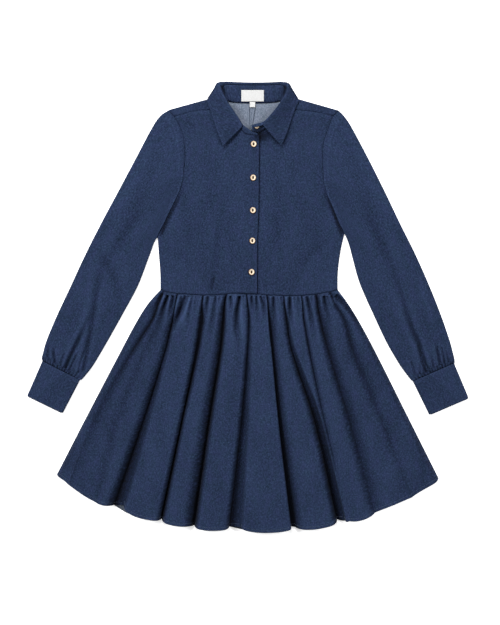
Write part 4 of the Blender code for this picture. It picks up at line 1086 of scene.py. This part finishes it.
def buildSleeve(side, turned, seed):
    name = side.capitalize()
    grid, wear = sleeveGrid(sleeves[side], bodice[side], sleeves[side + "Creases"], seed)
    tube = gridMesh("sleeve" + name, [grid], [denim, denimInside], clothThickness, True, turned, [wear])
    place(tube, ["sleeve_" + side])


def buildCuff(side, turned):
    spec, name = cuffs, side.capitalize()
    v = spread(spec["rows"])[:, None]
    first, last = np.array(spec[side][0]), np.array(spec[side][1])
    at = mix(first, last, v)
    outer, inner = at[:, 0:2], at[:, 2:4]
    width = np.linalg.norm(inner - outer, axis=1)[:, None]
    shares, heights = tubeShares(width, spec["edge"] + 0 * width, spec["top"], spec["bottom"], spec["end"])
    length = float(np.linalg.norm(last[:2] - first[:2]))
    toHem, toSeam = (1 - v) * length, v * length
    # the hem's corners are rounded off
    reach = np.clip(1 - toHem / spec["cornerRadius"], 0, 1)
    inset = spec["cornerRadius"] * (1 - np.sqrt(1 - reach**2)) / width
    shares = mix(inset, 1 - inset, shares)
    flat = mix(outer[:, None], inner[:, None], shares[..., None])
    x, y = flat[..., 0], flat[..., 1]
    onTop = np.clip(heights / spec["edge"] * 2 - 1, 0, 1)
    height, size, seed = spec["uneven"]
    raised = spec["crown"] * np.sin(math.pi * np.clip(shares, 0, 1)) + height * mottle(x, y, size, seed)
    sewing = ridges(toHem, spec["hemStitching"]) + ridges(toSeam, spec["seamStitching"])
    z = heights + onTop * (raised + sewing)
    share, reach = spec["hemRound"]
    z = mix(z, spec["edge"] / 2, share * hump(toHem, reach))
    (hemPale, hemReach), (seamPale, seamReach) = spec["hemWear"], spec["seamWear"]
    wear = hemPale * trail(toHem, hemReach) + seamPale * trail(toSeam, seamReach) + 0 * x
    grid = np.stack([x, y, z], -1)
    tube = gridMesh("cuff" + name, [grid], [denim, denimInside], doubledThickness, True, turned, [wear])
    place(tube, ["cuff_" + side])


buildSleeve("right", True, 11.3)
buildSleeve("left", False, 15.7)
buildCuff("right", True)
buildCuff("left", False)
print("sleeves and cuffs made")

# Collar. The stand's bands go from its end on the right front round the back to its end on the left
# front: neck seam x, y, z and top edge x, y, z. The fall's go the same way: roll x, y, z, free x, y
# and whether it is tucked under.
collar = {
    "stand": [
        (19.5, 335.4, 8.6, 16.5, 338.0, 8.8), (12.5, 335.8, 8.6, 9.0, 340.5, 9.4),
        (3.0, 336.6, 8.6, 2.0, 345.5, 10.2), (-5.0, 338.2, 8.5, -4.0, 349.5, 10.8),
        (-13.0, 346.5, 8.0, -10.5, 355.0, 11.2),
        (-24.0, 361.5, 7.4, -17.5, 366.5, 11.5), (-33.5, 377.5, 7.0, -27.5, 381.5, 11.5),
        (-41.0, 393.0, 6.9, -38.0, 397.5, 11.3), (-42.5, 401.0, 5.2, -46.0, 414.0, 10.4),
        (-38.5, 402.0, 4.0, -48.5, 427.5, 8.8), (-30.0, 400.0, 3.7, -41.0, 432.0, 8.0),
        (-12.0, 398.6, 3.7, -18.0, 432.5, 8.0), (12.0, 398.2, 3.7, 12.0, 432.5, 8.0),
        (36.0, 398.6, 3.7, 42.0, 432.5, 8.0), (54.0, 400.0, 3.7, 62.0, 432.0, 8.0),
        (62.0, 402.0, 4.0, 70.5, 427.0, 8.6), (66.5, 401.0, 5.2, 70.0, 414.0, 10.4),
        (65.0, 393.0, 6.9, 62.0, 397.5, 11.3), (57.5, 377.5, 7.0, 50.5, 381.5, 11.3),
        (45.0, 360.0, 7.0, 37.5, 366.5, 10.6), (33.0, 347.5, 6.9, 27.5, 358.5, 8.4),
        (22.5, 341.5, 6.9, 19.5, 356.5, 8.2), (8.0, 342.0, 6.9, 7.0, 353.0, 8.2),
    ],
    "fall": [
        (-12.5, 349.0, 14.6, -48.5, 312.5, 0.0), (-18.5, 365.0, 15.4, -56.5, 331.5, 0.0),
        (-29.0, 381.5, 15.6, -64.0, 353.0, 0.0), (-40.0, 397.0, 15.4, -71.0, 376.0, 0.0),
        (-49.5, 414.0, 14.2, -77.5, 393.5, 0.0), (-55.5, 427.0, 12.8, -81.0, 401.5, 0.0),
        (-57.0, 432.0, 12.0, -69.5, 418.8, 0.0), (-55.0, 437.2, 11.0, -58.5, 436.6, 0.1),
        (-40.0, 434.6, 10.5, -40.0, 420.0, 1.0), (-14.0, 433.0, 10.5, -16.0, 408.0, 1.0),
        (12.0, 432.4, 10.5, 12.0, 408.0, 1.0), (38.0, 432.8, 10.5, 40.0, 408.0, 1.0),
        (61.0, 434.2, 10.5, 62.0, 420.0, 1.0), (75.0, 436.6, 11.0, 78.5, 435.6, 0.1),
        (78.0, 431.5, 12.0, 89.5, 417.0, 0.0), (78.0, 426.0, 12.8, 99.5, 400.8, 0.0),
        (73.5, 412.5, 14.2, 95.0, 393.0, 0.0), (63.0, 397.0, 15.4, 88.5, 376.0, 0.0),
        (51.5, 381.5, 15.6, 80.5, 353.0, 0.0), (38.0, 366.5, 15.0, 73.0, 331.5, 0.0),
        (28.5, 353.5, 14.2, 64.5, 313.0, 0.0),
    ],
    # which band of the stand each row of the fall springs from
    "springs": (4, 5, 6, 7, 8, 9, 9.3, 9.6, 10.3, 11, 12, 13, 13.8, 14.4, 14.7, 15, 16, 17, 18, 19, 20),
    # the stand's grid; at the back its lower edge goes down onto the neck's edge: bands and fade
    "standColumns": 190, "standRows": 14, "onBack": (7.4, 16.6, 1.2),
    "footFront": (0.0, 0.0, -0.6), "footBack": (0.0, -1.6, -2.2),
    # the under end of the stand curls forward over its button: the x where it starts and ends, its form, and
    # the lip's painted highlight
    "curl": {
        "band": 19.4, "columns": 40, "rows": 18, "start": (8.0, 5.0), "end": (34.0, 6.0), "swell": 1.5,
        "forward": 6.0, "height": 5.2, "quick": 1.35, "edge": 0.4, "wear": 0.5,
    },
    # how strong and how far: paler at the top edge and the ends, and painted shade at the foot, at the
    # shaded end and at the corners where the fall turns
    "standWearAndShade": {
        "top": (0.8, 0.12), "foot": (0.7, 0.1), "ends": (0.5, 0.25), "shade": (1.6, 19.5, 1.5, 1.4),
        "corners": (8.6, 15.6), "cornerWide": 0.8, "cornerDark": 2.4, "cornerUp": (1.5, 0.4),
    },
    # the fall is a leaf, a back and a leaf: first and last row of the table and steps
    "fallRuns": [(0, 5, 60), (5, 15, 90), (15, 20, 60)], "fallRows": 46, "innerRows": 8, "springLift": 0.4,
    "leafClearance": 3.5, "leafCurve": 0.8, "leafTones": (-0.18, -0.34), "tonesFrom": (8, 4),
    "lifted": {"height": 3.6, "ends": 0.16}, "edgeStitching": [(0.5, 2.2, 1.6), (-0.45, 4.6, 0.8)],
    "tuckShare": 0.45, "tuckRadius": 5.0, "neckMiddle": (12.0, 400.0), "neckOval": (0.25, 1.0),
    # unevenness; paler at the free edge; painted highlights along the roll, outside and inside; painted shade
    # on the inner side, most at the two corners
    "uneven": (0.35, 24.0, 9.1), "edgeWear": [(0.7, 0.0, 1.4)], "rollHighlight": [(0.4, 0.0, 0.1)],
    "innerRollHighlight": [(1.3, 0.0, 0.2)], "innerDark": 0.1,
    "cornerDark": 3.0, "cornersAt": (5.2, 14.8), "cornerWide": 1.3,
    "standSheet": {"flat": (0.30, 0.036), "area": 0.0085},
    "fallSheet": {"flat": (0.33, 0.06), "area": 0.0150},
}


def atCorners(where, corners, width):
    return np.maximum(*(hump(where - corner, width) for corner in corners))


def standWearAndShade(where, last, up):
    spec = collar["standWearAndShade"]
    (top, topReach), (foot, footReach), (pale, endReach) = spec["top"], spec["foot"], spec["ends"]
    dark, start, by, full = spec["shade"]
    ends = trail(np.minimum(where, last - where), endReach)[None]
    shaded = ease((where - start) / by)[None] * (1 - ends) * ease(full - up)
    corners = atCorners(where, spec["corners"], spec["cornerWide"])[None]
    corners = corners * ease(spec["cornerUp"][0] * up - spec["cornerUp"][1])
    # paler at the top edge and the ends; painted shade at the foot, at the shaded end and at the corners
    wear = top * trail(1 - up, topReach) - foot * trail(up, footReach) + pale * ends
    return wear - dark * shaded - spec["cornerDark"] * corners


def buildStand():
    bands = np.array(collar["stand"])
    last = len(bands) - 1
    where = np.linspace(0, last, collar["standColumns"])
    at = curveAt(range(last + 1), bands, where)
    v = spread(collar["standRows"])[:, None, None]
    grid = mix(at[None, :, 0:3], at[None, :, 3:6], v)
    low, high, by = collar["onBack"]
    onBack = (ease((where - low) / by) * ease((high - where) / by))[None, :, None]
    foot = grid[:1] + mix(np.array(collar["footFront"]), np.array(collar["footBack"]), onBack)
    grid = np.concatenate([foot, grid])
    curl = collar["curl"]
    along = curveAt(range(last + 1), bands, np.linspace(curl["band"], last, curl["columns"]))[None, :, 3:6]
    t = spread(curl["rows"])[:, None]
    (start, startBy), (end, endBy) = curl["start"], curl["end"]
    fade = ease((along[..., 0] - start) / startBy) * ease((end - along[..., 0]) / endBy)
    y = along[..., 1] + fade * (curl["swell"] * np.sin(math.pi * t) - curl["forward"] * t**2)
    climb = np.sin(0.5 * math.pi * np.minimum(1, curl["quick"] * t))
    z = along[..., 2] + fade * curl["height"] * climb + curl["edge"] * t
    lip = np.stack([along[..., 0] + 0 * t, y, z], -1)
    up = np.concatenate([[[0.0]], v[..., 0]])
    # the lip is painted lighter: painted highlight
    wear = [standWearAndShade(where, last, up), curl["wear"] + 0 * y]
    piece = gridMesh("collarStand", [grid, lip], [denim, denim], doubledThickness, wear=wear)
    place(piece, ["collar_stand"])


def fallGrid():
    table, stand = np.array(collar["fall"]), np.array(collar["stand"])
    last = len(table) - 1
    at, where = [], []
    for low, high, count in collar["fallRuns"]:
        part = curveAt(range(high - low + 1), table[low: high + 1], np.linspace(0, high - low, count + 1))
        at.append(part if not at else part[1:])
        where.append(np.linspace(low, high, count + 1)[0 if not where else 1:])
    at, where = np.concatenate(at)[None], np.concatenate(where)
    band = np.interp(where, range(last + 1), collar["springs"])
    spring = curveAt(range(len(stand)), stand, band)[None, :, 3:6]
    t = spread(collar["fallRows"])[:, None]
    roll, free = at[..., 0:2], at[..., 3:5]
    leaf = mix(roll, free, t[..., None])
    freeZ = bodyTop(free[..., 0]) + collar["leafClearance"]
    leafZ = mix(at[..., 2], freeZ, (1 - np.cos(math.pi * t ** collar["leafCurve"])) / 2)
    # at the back it turns under round the roll
    turnTo = collar["tuckShare"]
    turn = math.pi * np.minimum(1.0, t / turnTo)
    under = mix(roll, free, np.maximum(0.0, (t - turnTo) / (1 - turnTo))[..., None])
    out = (roll - np.array(collar["neckMiddle"])) * np.array(collar["neckOval"])
    out = out / np.linalg.norm(out, axis=-1, keepdims=True)
    under = under + out * collar["tuckRadius"] * np.sin(turn)[..., None]
    underZ = at[..., 2] * (1 + np.cos(turn)) / 2
    tucked = np.clip(at[..., 5], 0.0, 1.0)
    flat = mix(leaf, under, tucked[..., None])
    x, y = flat[..., 0], flat[..., 1]
    # soft unevenness, the free edge bulges over its seam and a stitched line runs inside it
    toEdge = (1 - t) * np.linalg.norm(free - roll, axis=-1)
    nearEnd = np.minimum(where, last - where) / last
    height, size, seed = collar["uneven"]
    raised = height * ease(3 * t) * mottle(x, y, size, seed) + ridges(toEdge, collar["edgeStitching"])
    lifted = collar["lifted"]
    raised = raised + lifted["height"] * ease(t) * ease((lifted["ends"] - nearEnd) / lifted["ends"])
    z = mix(leafZ, underZ, tucked) + (1 - tucked) * raised
    # the inner side comes up from the stand and rounds over into the roll
    rise = np.linspace(0, 1, collar["innerRows"], endpoint=False)[:, None, None]
    startZ = spring[..., 2] + collar["springLift"]
    innerFlat = mix(spring[..., :2], roll, rise)
    innerZ = mix(startZ, at[..., 2], np.sin(0.5 * math.pi * rise[..., 0]))
    onInner = 1 - rise[..., 0] + 0 * innerZ
    inCorner = atCorners(where, collar["cornersAt"], collar["cornerWide"])
    # painted highlight along the inner roll, painted shade on the inner side, most at the corners
    innerWear = ridges(onInner, collar["innerRollHighlight"])
    innerWear = innerWear - (collar["innerDark"] + collar["cornerDark"] * inCorner) * onInner
    leafTone = mix(*collar["leafTones"], ease((where - collar["tonesFrom"][0]) / collar["tonesFrom"][1]))
    # paler at the free edge, painted highlight along the roll
    outerWear = ridges(toEdge, collar["edgeWear"]) + ridges(t, collar["rollHighlight"]) * (1 - tucked) + leafTone
    inner, outer = np.concatenate([innerFlat, innerZ[..., None]], -1), np.stack([x, y, z], -1)
    return np.concatenate([inner, outer]), np.concatenate([innerWear, outerWear])


def buildFall():
    grid, wear = fallGrid()
    piece = gridMesh("collarFall", [grid], [denim, denim], doubledThickness, wear=[wear])
    place(piece, ["collar"])


buildStand()
buildFall()
print("collar made")

# Buttons: a cream disc with a raised brown-edged rim, a dished middle and an oval slot, with painted shade on
# one side of the rim and in the slot
buttons = {
    "places": [(11.0, 316.5), (10.0, 251.0), (9.5, 187.5), (8.5, 128.0), (7.0, 67.0)], "above": 0.3,
    # the stand's button is a little smaller and tilted, and its slot lies across, out of sight
    "stand": (16.8, 351.6, 8.7), "standTilt": 18.0, "standSize": 0.85, "standSlot": (0.5, 0.5),
    "radius": 5.6, "thickness": 2.6, "tall": 1.07, "turns": 64,
    "slot": (1.7, 2.9), "slotEdge": (0.75, 0.45), "slotDeep": 1.1, "slotDark": 1.15, "slotWithin": 0.6,
    # its painted shading: the usual share, how far it varies round the disc and where it is darkest, in
    # degrees
    "shading": (0.85, 0.45, 215),
    # the finish: colour against brownness with its painted shade, and the grain that varies it
    "colours": [(0.0, (0.72, 0.65, 0.54)), (0.25, (0.55, 0.41, 0.24)), (0.6, (0.27, 0.12, 0.04)),
                (1.0, (0.03, 0.02, 0.012))],
    "grain": 900.0, "grainDetail": 3.0, "grainShade": 0.16, "rough": 0.25, "grainRough": 0.25,
    "bump": 0.12, "bumpDistance": 0.0002,
    # share of the radius, share of the thickness, brownness
    "profile": [
        (0.0, 0.62, 0.30), (0.2, 0.62, 0.30), (0.35, 0.64, 0.27), (0.5, 0.70, 0.18), (0.62, 0.84, 0.05),
        (0.7, 0.95, 0.03), (0.78, 1.0, 0.14), (0.86, 1.0, 0.45), (0.93, 0.93, 0.65), (0.98, 0.78, 0.75),
        (1.0, 0.58, 0.75), (0.98, 0.36, 0.75), (0.88, 0.12, 0.70), (0.7, 0.0, 0.6), (0.0, 0.0, 0.6),
    ],
}


def buttonMaterial():
    material, tree, shader = newMaterial("creamNut")
    spot = addNode(tree, "ShaderNodeAttribute", {"attribute_name": "cloth"})
    split = addNode(tree, "ShaderNodeSeparateXYZ", n0=spot.outputs["Vector"])
    settings = {"Scale": buttons["grain"], "Detail": buttons["grainDetail"]}
    grain = addNode(tree, "ShaderNodeTexNoise", settings, Vector=spot.outputs["Vector"])
    centred = maths(tree, "SUBTRACT", grain.outputs[0], 0.5)
    # brownness with its painted shade, varied by the grain
    brown = maths(tree, "MULTIPLY_ADD", centred, buttons["grainShade"], split.outputs[2])
    tree.links.new(colourRamp(tree, brown, buttons["colours"]), shader.inputs["Base Color"])
    rough = maths(tree, "MULTIPLY_ADD", grain.outputs[0], buttons["grainRough"], buttons["rough"])
    tree.links.new(rough, shader.inputs["Roughness"])
    relief(tree, shader, grain.outputs[0], buttons["bump"], buttons["bumpDistance"])
    return material


nut = buttonMaterial()


def buildButton(name, node, x, y, z, tilt=0.0, size=1.0, slotSize=buttons["slot"]):
    profile = np.array(buttons["profile"])
    r, h, brown = lineAt(profile, spread(3 * len(profile))).T
    turn = np.linspace(0, math.tau, buttons["turns"], endpoint=False)[None]
    radius = buttons["radius"] * size
    px, py = radius * r[:, None] * np.cos(turn), radius * buttons["tall"] * r[:, None] * np.sin(turn)
    pz = buttons["thickness"] * h[:, None] + 0 * px
    onTop = (np.arange(len(r)) < buttons["slotWithin"] * len(r))[:, None]
    slot = np.hypot(px / slotSize[0], py / slotSize[1])
    hole = onTop * (1 - ease((slot - buttons["slotEdge"][0]) / buttons["slotEdge"][1]))
    pz = pz - buttons["slotDeep"] * hole
    # painted shade: the brown rim darker on one side, and the slot painted dark
    usual, varies, darkest = buttons["shading"]
    shade = brown[:, None] * (usual + varies * np.cos(turn - math.radians(darkest)))
    shade = shade + buttons["slotDark"] * hole
    leaned = y + py * math.cos(tilt) - pz * math.sin(tilt)
    raised = z + py * math.sin(tilt) + pz * math.cos(tilt)
    grid = np.stack([x + px, leaned, raised], -1)
    piece = gridMesh(name, [grid], [nut], closed=True, turned=True, wear=[shade])
    weld(piece)
    place(piece, [node])


for number, (x, y) in enumerate(buttons["places"], 1):
    buildButton(f"button{number}", f"button_{number}", x, y, float(lapTop(x)) + buttons["above"])
buildButton(
    "buttonStand", "button_stand", *buttons["stand"], tilt=math.radians(buttons["standTilt"]),
    size=buttons["standSize"], slotSize=buttons["standSlot"],
)
print("buttons made")

# Neck label and the small tab below it, both bare, and the centre-back seam's allowance
labels = {
    "neckLabel": dict(left=-13.0, right=31.0, bottom=400.0, top=422.0, node="label", folded=True),
    "sizeTab": dict(left=3.5, right=14.0, bottom=389.0, top=399.2, node="size_tab", folded=False),
    "thickness": 0.6, "columns": 45, "rows": 25,
    "fold": 3.6, "foldWide": 0.45, "foldDeep": 0.25, "foldMark": 0.22,
    "uneven": (0.25, 14.0, 3.3), "edgeDrop": 0.3, "edgeRound": 0.5,
    # the height of the stand they lie on: at its foot, how far it climbs and over which y, and the gap
    "ground": 3.7, "climb": 4.3, "climbFrom": 398.6, "climbOver": 33.9, "above": 1.1,
}
allowance = {
    # left x, right x and y of its two ends
    "top": (2.6, 15.4, 391.0), "bottom": (3.2, 7.2, 344.0), "columns": 17, "rows": 60, "thickness": 0.8,
    "height": 2.1, "seamAt": 0.45, "seamHigh": 0.5, "seamWide": 0.12, "edgeDrop": 0.3, "edgeRound": 0.05,
    "uneven": (0.2, 9.0, 6.1), "edgeDark": (1.6, 0.08), "seamDark": (0.5, 0.05),
    "sheet": {"flat": (0.0104, 0.047), "area": 0.00035},
}


def labelHeight(y):
    climbed = np.maximum(0.0, (y - labels["climbFrom"]) / labels["climbOver"])
    return labels["ground"] + labels["climb"] * climbed + labels["above"]


def buildLabel(name):
    spec = labels[name]
    u, v = spread(labels["columns"])[None, :], spread(labels["rows"])[:, None]
    x = mix(spec["left"], spec["right"], u) + 0 * v
    y = mix(spec["bottom"], spec["top"], v) + 0 * u
    fromEnd = np.minimum(x - spec["left"], spec["right"] - x)
    fromEdge = np.minimum(fromEnd, np.minimum(y - spec["bottom"], spec["top"] - y))
    line = hump(fromEnd - labels["fold"], labels["foldWide"]) * spec["folded"]
    height, size, seed = labels["uneven"]
    z = labelHeight(y) + height * mottle(x, y, size, seed)
    z = z - labels["foldDeep"] * line - labels["edgeDrop"] * hump(fromEdge, labels["edgeRound"])
    # painted shade along the folds
    wear = [labels["foldMark"] * line]
    piece = gridMesh(name, [np.stack([x, y, z], -1)], [ribbon], labels["thickness"], wear=wear)
    size = ((spec["right"] - spec["left"]) * mm, (spec["top"] - spec["bottom"]) * mm)
    place(piece, [spec["node"]])


def buildAllowance():
    spec = allowance
    u, v = spread(spec["columns"])[None, :], spread(spec["rows"])[:, None]
    left, right = (mix(spec["bottom"][i], spec["top"][i], v) for i in (0, 1))
    x = mix(left, right, u)
    y = mix(spec["bottom"][2], spec["top"][2], v) + 0 * u
    fromEdge = np.minimum(u, 1 - u) + 0 * v
    fromSeam = np.abs(u - spec["seamAt"]) + 0 * v
    height, size, seed = spec["uneven"]
    z = spec["height"] + spec["seamHigh"] * (1 - ease(fromSeam / spec["seamWide"]))
    z = z - spec["edgeDrop"] * hump(fromEdge, spec["edgeRound"]) + height * mottle(x, y, size, seed)
    # painted shadow along its edges and painted shade along the seam
    (edgeDark, edgeWide), (seamDark, seamWide) = spec["edgeDark"], spec["seamDark"]
    wear = [-edgeDark * hump(fromEdge, edgeWide) - seamDark * hump(fromSeam, seamWide)]
    grid = np.stack([x, y, z], -1)
    piece = gridMesh("backSeamAllowance", [grid], [denimInside, denimInside], spec["thickness"], wear=wear)
    place(piece, ())


buildLabel("neckLabel")
buildLabel("sizeTab")
buildAllowance()
print("labels made")

# Hem stitches, one short raised thread after another, joined in one piece
threads = {
    "length": 2.3, "pitch": 3.3, "width": 0.42, "fromHem": 6.2, "above": 0.1,
    # places along a stitch, and how high it stands at each
    "along": (0.0, 0.25, 0.75, 1.0), "lifts": (-0.15, 0.30, 0.30, -0.15), "edge": -0.15, "crown": 0.12,
}


def stitchRow(name, line, up, material):
    # line holds places on the cloth, up the way out of it at each
    steps = np.linalg.norm(np.diff(line, axis=0), axis=1)
    reach = np.concatenate([[0], np.cumsum(steps)])
    points, faces = [], []
    for start in np.arange(threads["pitch"], reach[-1] - threads["pitch"], threads["pitch"]):
        span = start + threads["length"] * np.array(threads["along"])
        spots = np.stack([np.interp(span, reach, line[:, i]) for i in range(3)], 1)
        out = np.array([np.interp(start, reach, up[:, i]) for i in range(3)])
        out = out / np.linalg.norm(out)
        forward = spots[-1] - spots[0]
        across = np.cross(out, forward / np.linalg.norm(forward)) * threads["width"] / 2
        first = len(points)
        for spot, lift in zip(spots, threads["lifts"]):
            foot = spot + out * (lift + threads["edge"])
            points += [foot - across, foot + across, spot + out * (lift + threads["crown"])]
        for k in range(len(spots) - 1):
            a = first + 3 * k
            faces += [(a + 2, a + 1, a + 4, a + 5), (a, a + 2, a + 5, a + 3), (a + 1, a, a + 3, a + 4)]
        last = len(points)
        faces += [(first, first + 1, first + 2), (last - 1, last - 2, last - 3)]
    place(makePiece(name, np.array(points), faces, [material]))


def buildHemStitches():
    gaps = np.linalg.norm(np.diff(skirtGrid, axis=0), axis=2)
    fromHem = np.cumsum(gaps[::-1], axis=0)[::-1]
    row = np.argmin(np.abs(fromHem - threads["fromHem"]), axis=0)
    columns = np.arange(skirtGrid.shape[1])
    line = skirtGrid[row, columns]
    downStep = line - skirtGrid[row - 1, columns]
    up = np.cross(np.gradient(line, axis=0), -downStep)
    up = up / np.maximum(np.linalg.norm(up, axis=1, keepdims=True), 1e-9)
    keep = np.concatenate([[True], np.linalg.norm(np.diff(line, axis=0), axis=1) > 0.02])
    stitchRow("hemStitches", line[keep] + threads["above"] * up[keep], up[keep], threadBlue)


threadBlue = clothMaterial("threadBlue", dict(
    denimLook, dark=(0.045, 0.065, 0.11), pale=(0.16, 0.20, 0.28), middle=0.5, fleck=0.5, thread=0.0003,
))
buildHemStitches()
print("stitches made")

# Floor, light and camera
studio = {
    # the camera's place in millimetres, its height in metres and its lens
    "cameraAt": (3.9, -10.6), "cameraHeight": 3.0, "lens": 88.4,
    "sky": 0.08, "floor": 0.92, "floorRough": 0.9, "glow": 0.62, "floorSize": 3.0, "floorZ": -0.0003,
    # place, size and strength of the soft boxes: one on each side and one past the collar
    "softBoxes": [
        ("softBoxLeft", (-2.5, 0.6, 2.3), 1.3, 90.0), ("softBoxRight", (2.5, 0.4, 2.3), 1.3, 68.0),
        ("softBoxTop", (-0.5, 2.4, 2.3), 1.2, 96.0),
    ],
}
floorMesh = bpy.data.meshes.new("floor")
reach, level = studio["floorSize"], studio["floorZ"]
corners = [(-reach, -reach, level), (reach, -reach, level), (reach, reach, level), (-reach, reach, level)]
floorMesh.from_pydata(corners, [], [(0, 1, 2, 3)])
floor = bpy.data.objects.new("floor", floorMesh)
bpy.context.scene.collection.objects.link(floor)
floorPaint, _, floorShader = newMaterial("paleFloor")
setInputs(floorShader, {
    "Base Color": (*[studio["floor"]] * 3, 1), "Roughness": studio["floorRough"],
    "Emission Color": (1, 1, 1, 1), "Emission Strength": studio["glow"],
})
floorMesh.materials.append(floorPaint)

for name, spot, size, strength in studio["softBoxes"]:
    lampData = bpy.data.lights.new(name, "AREA")
    lampData.shape = "DISK"
    lampData.size = size
    lampData.energy = strength
    lamp = bpy.data.objects.new(name, lampData)
    lamp.location = spot
    lamp.rotation_euler = Vector(spot).to_track_quat("Z", "Y").to_euler()
    bpy.context.scene.collection.objects.link(lamp)

sky = bpy.data.worlds.new("sky")
sky.use_nodes = True
setInputs(sky.node_tree.nodes["Background"], {"Color": (1, 1, 1, 1), "Strength": studio["sky"]})
bpy.context.scene.world = sky

cameraData = bpy.data.cameras.new("camera")
cameraData.lens = studio["lens"]
camera = bpy.data.objects.new("camera", cameraData)
camera.location = (studio["cameraAt"][0] * mm, studio["cameraAt"][1] * mm, studio["cameraHeight"])
bpy.context.scene.collection.objects.link(camera)
bpy.context.scene.camera = camera
bpy.context.scene.view_settings.view_transform = "Standard"

print("scene ready")
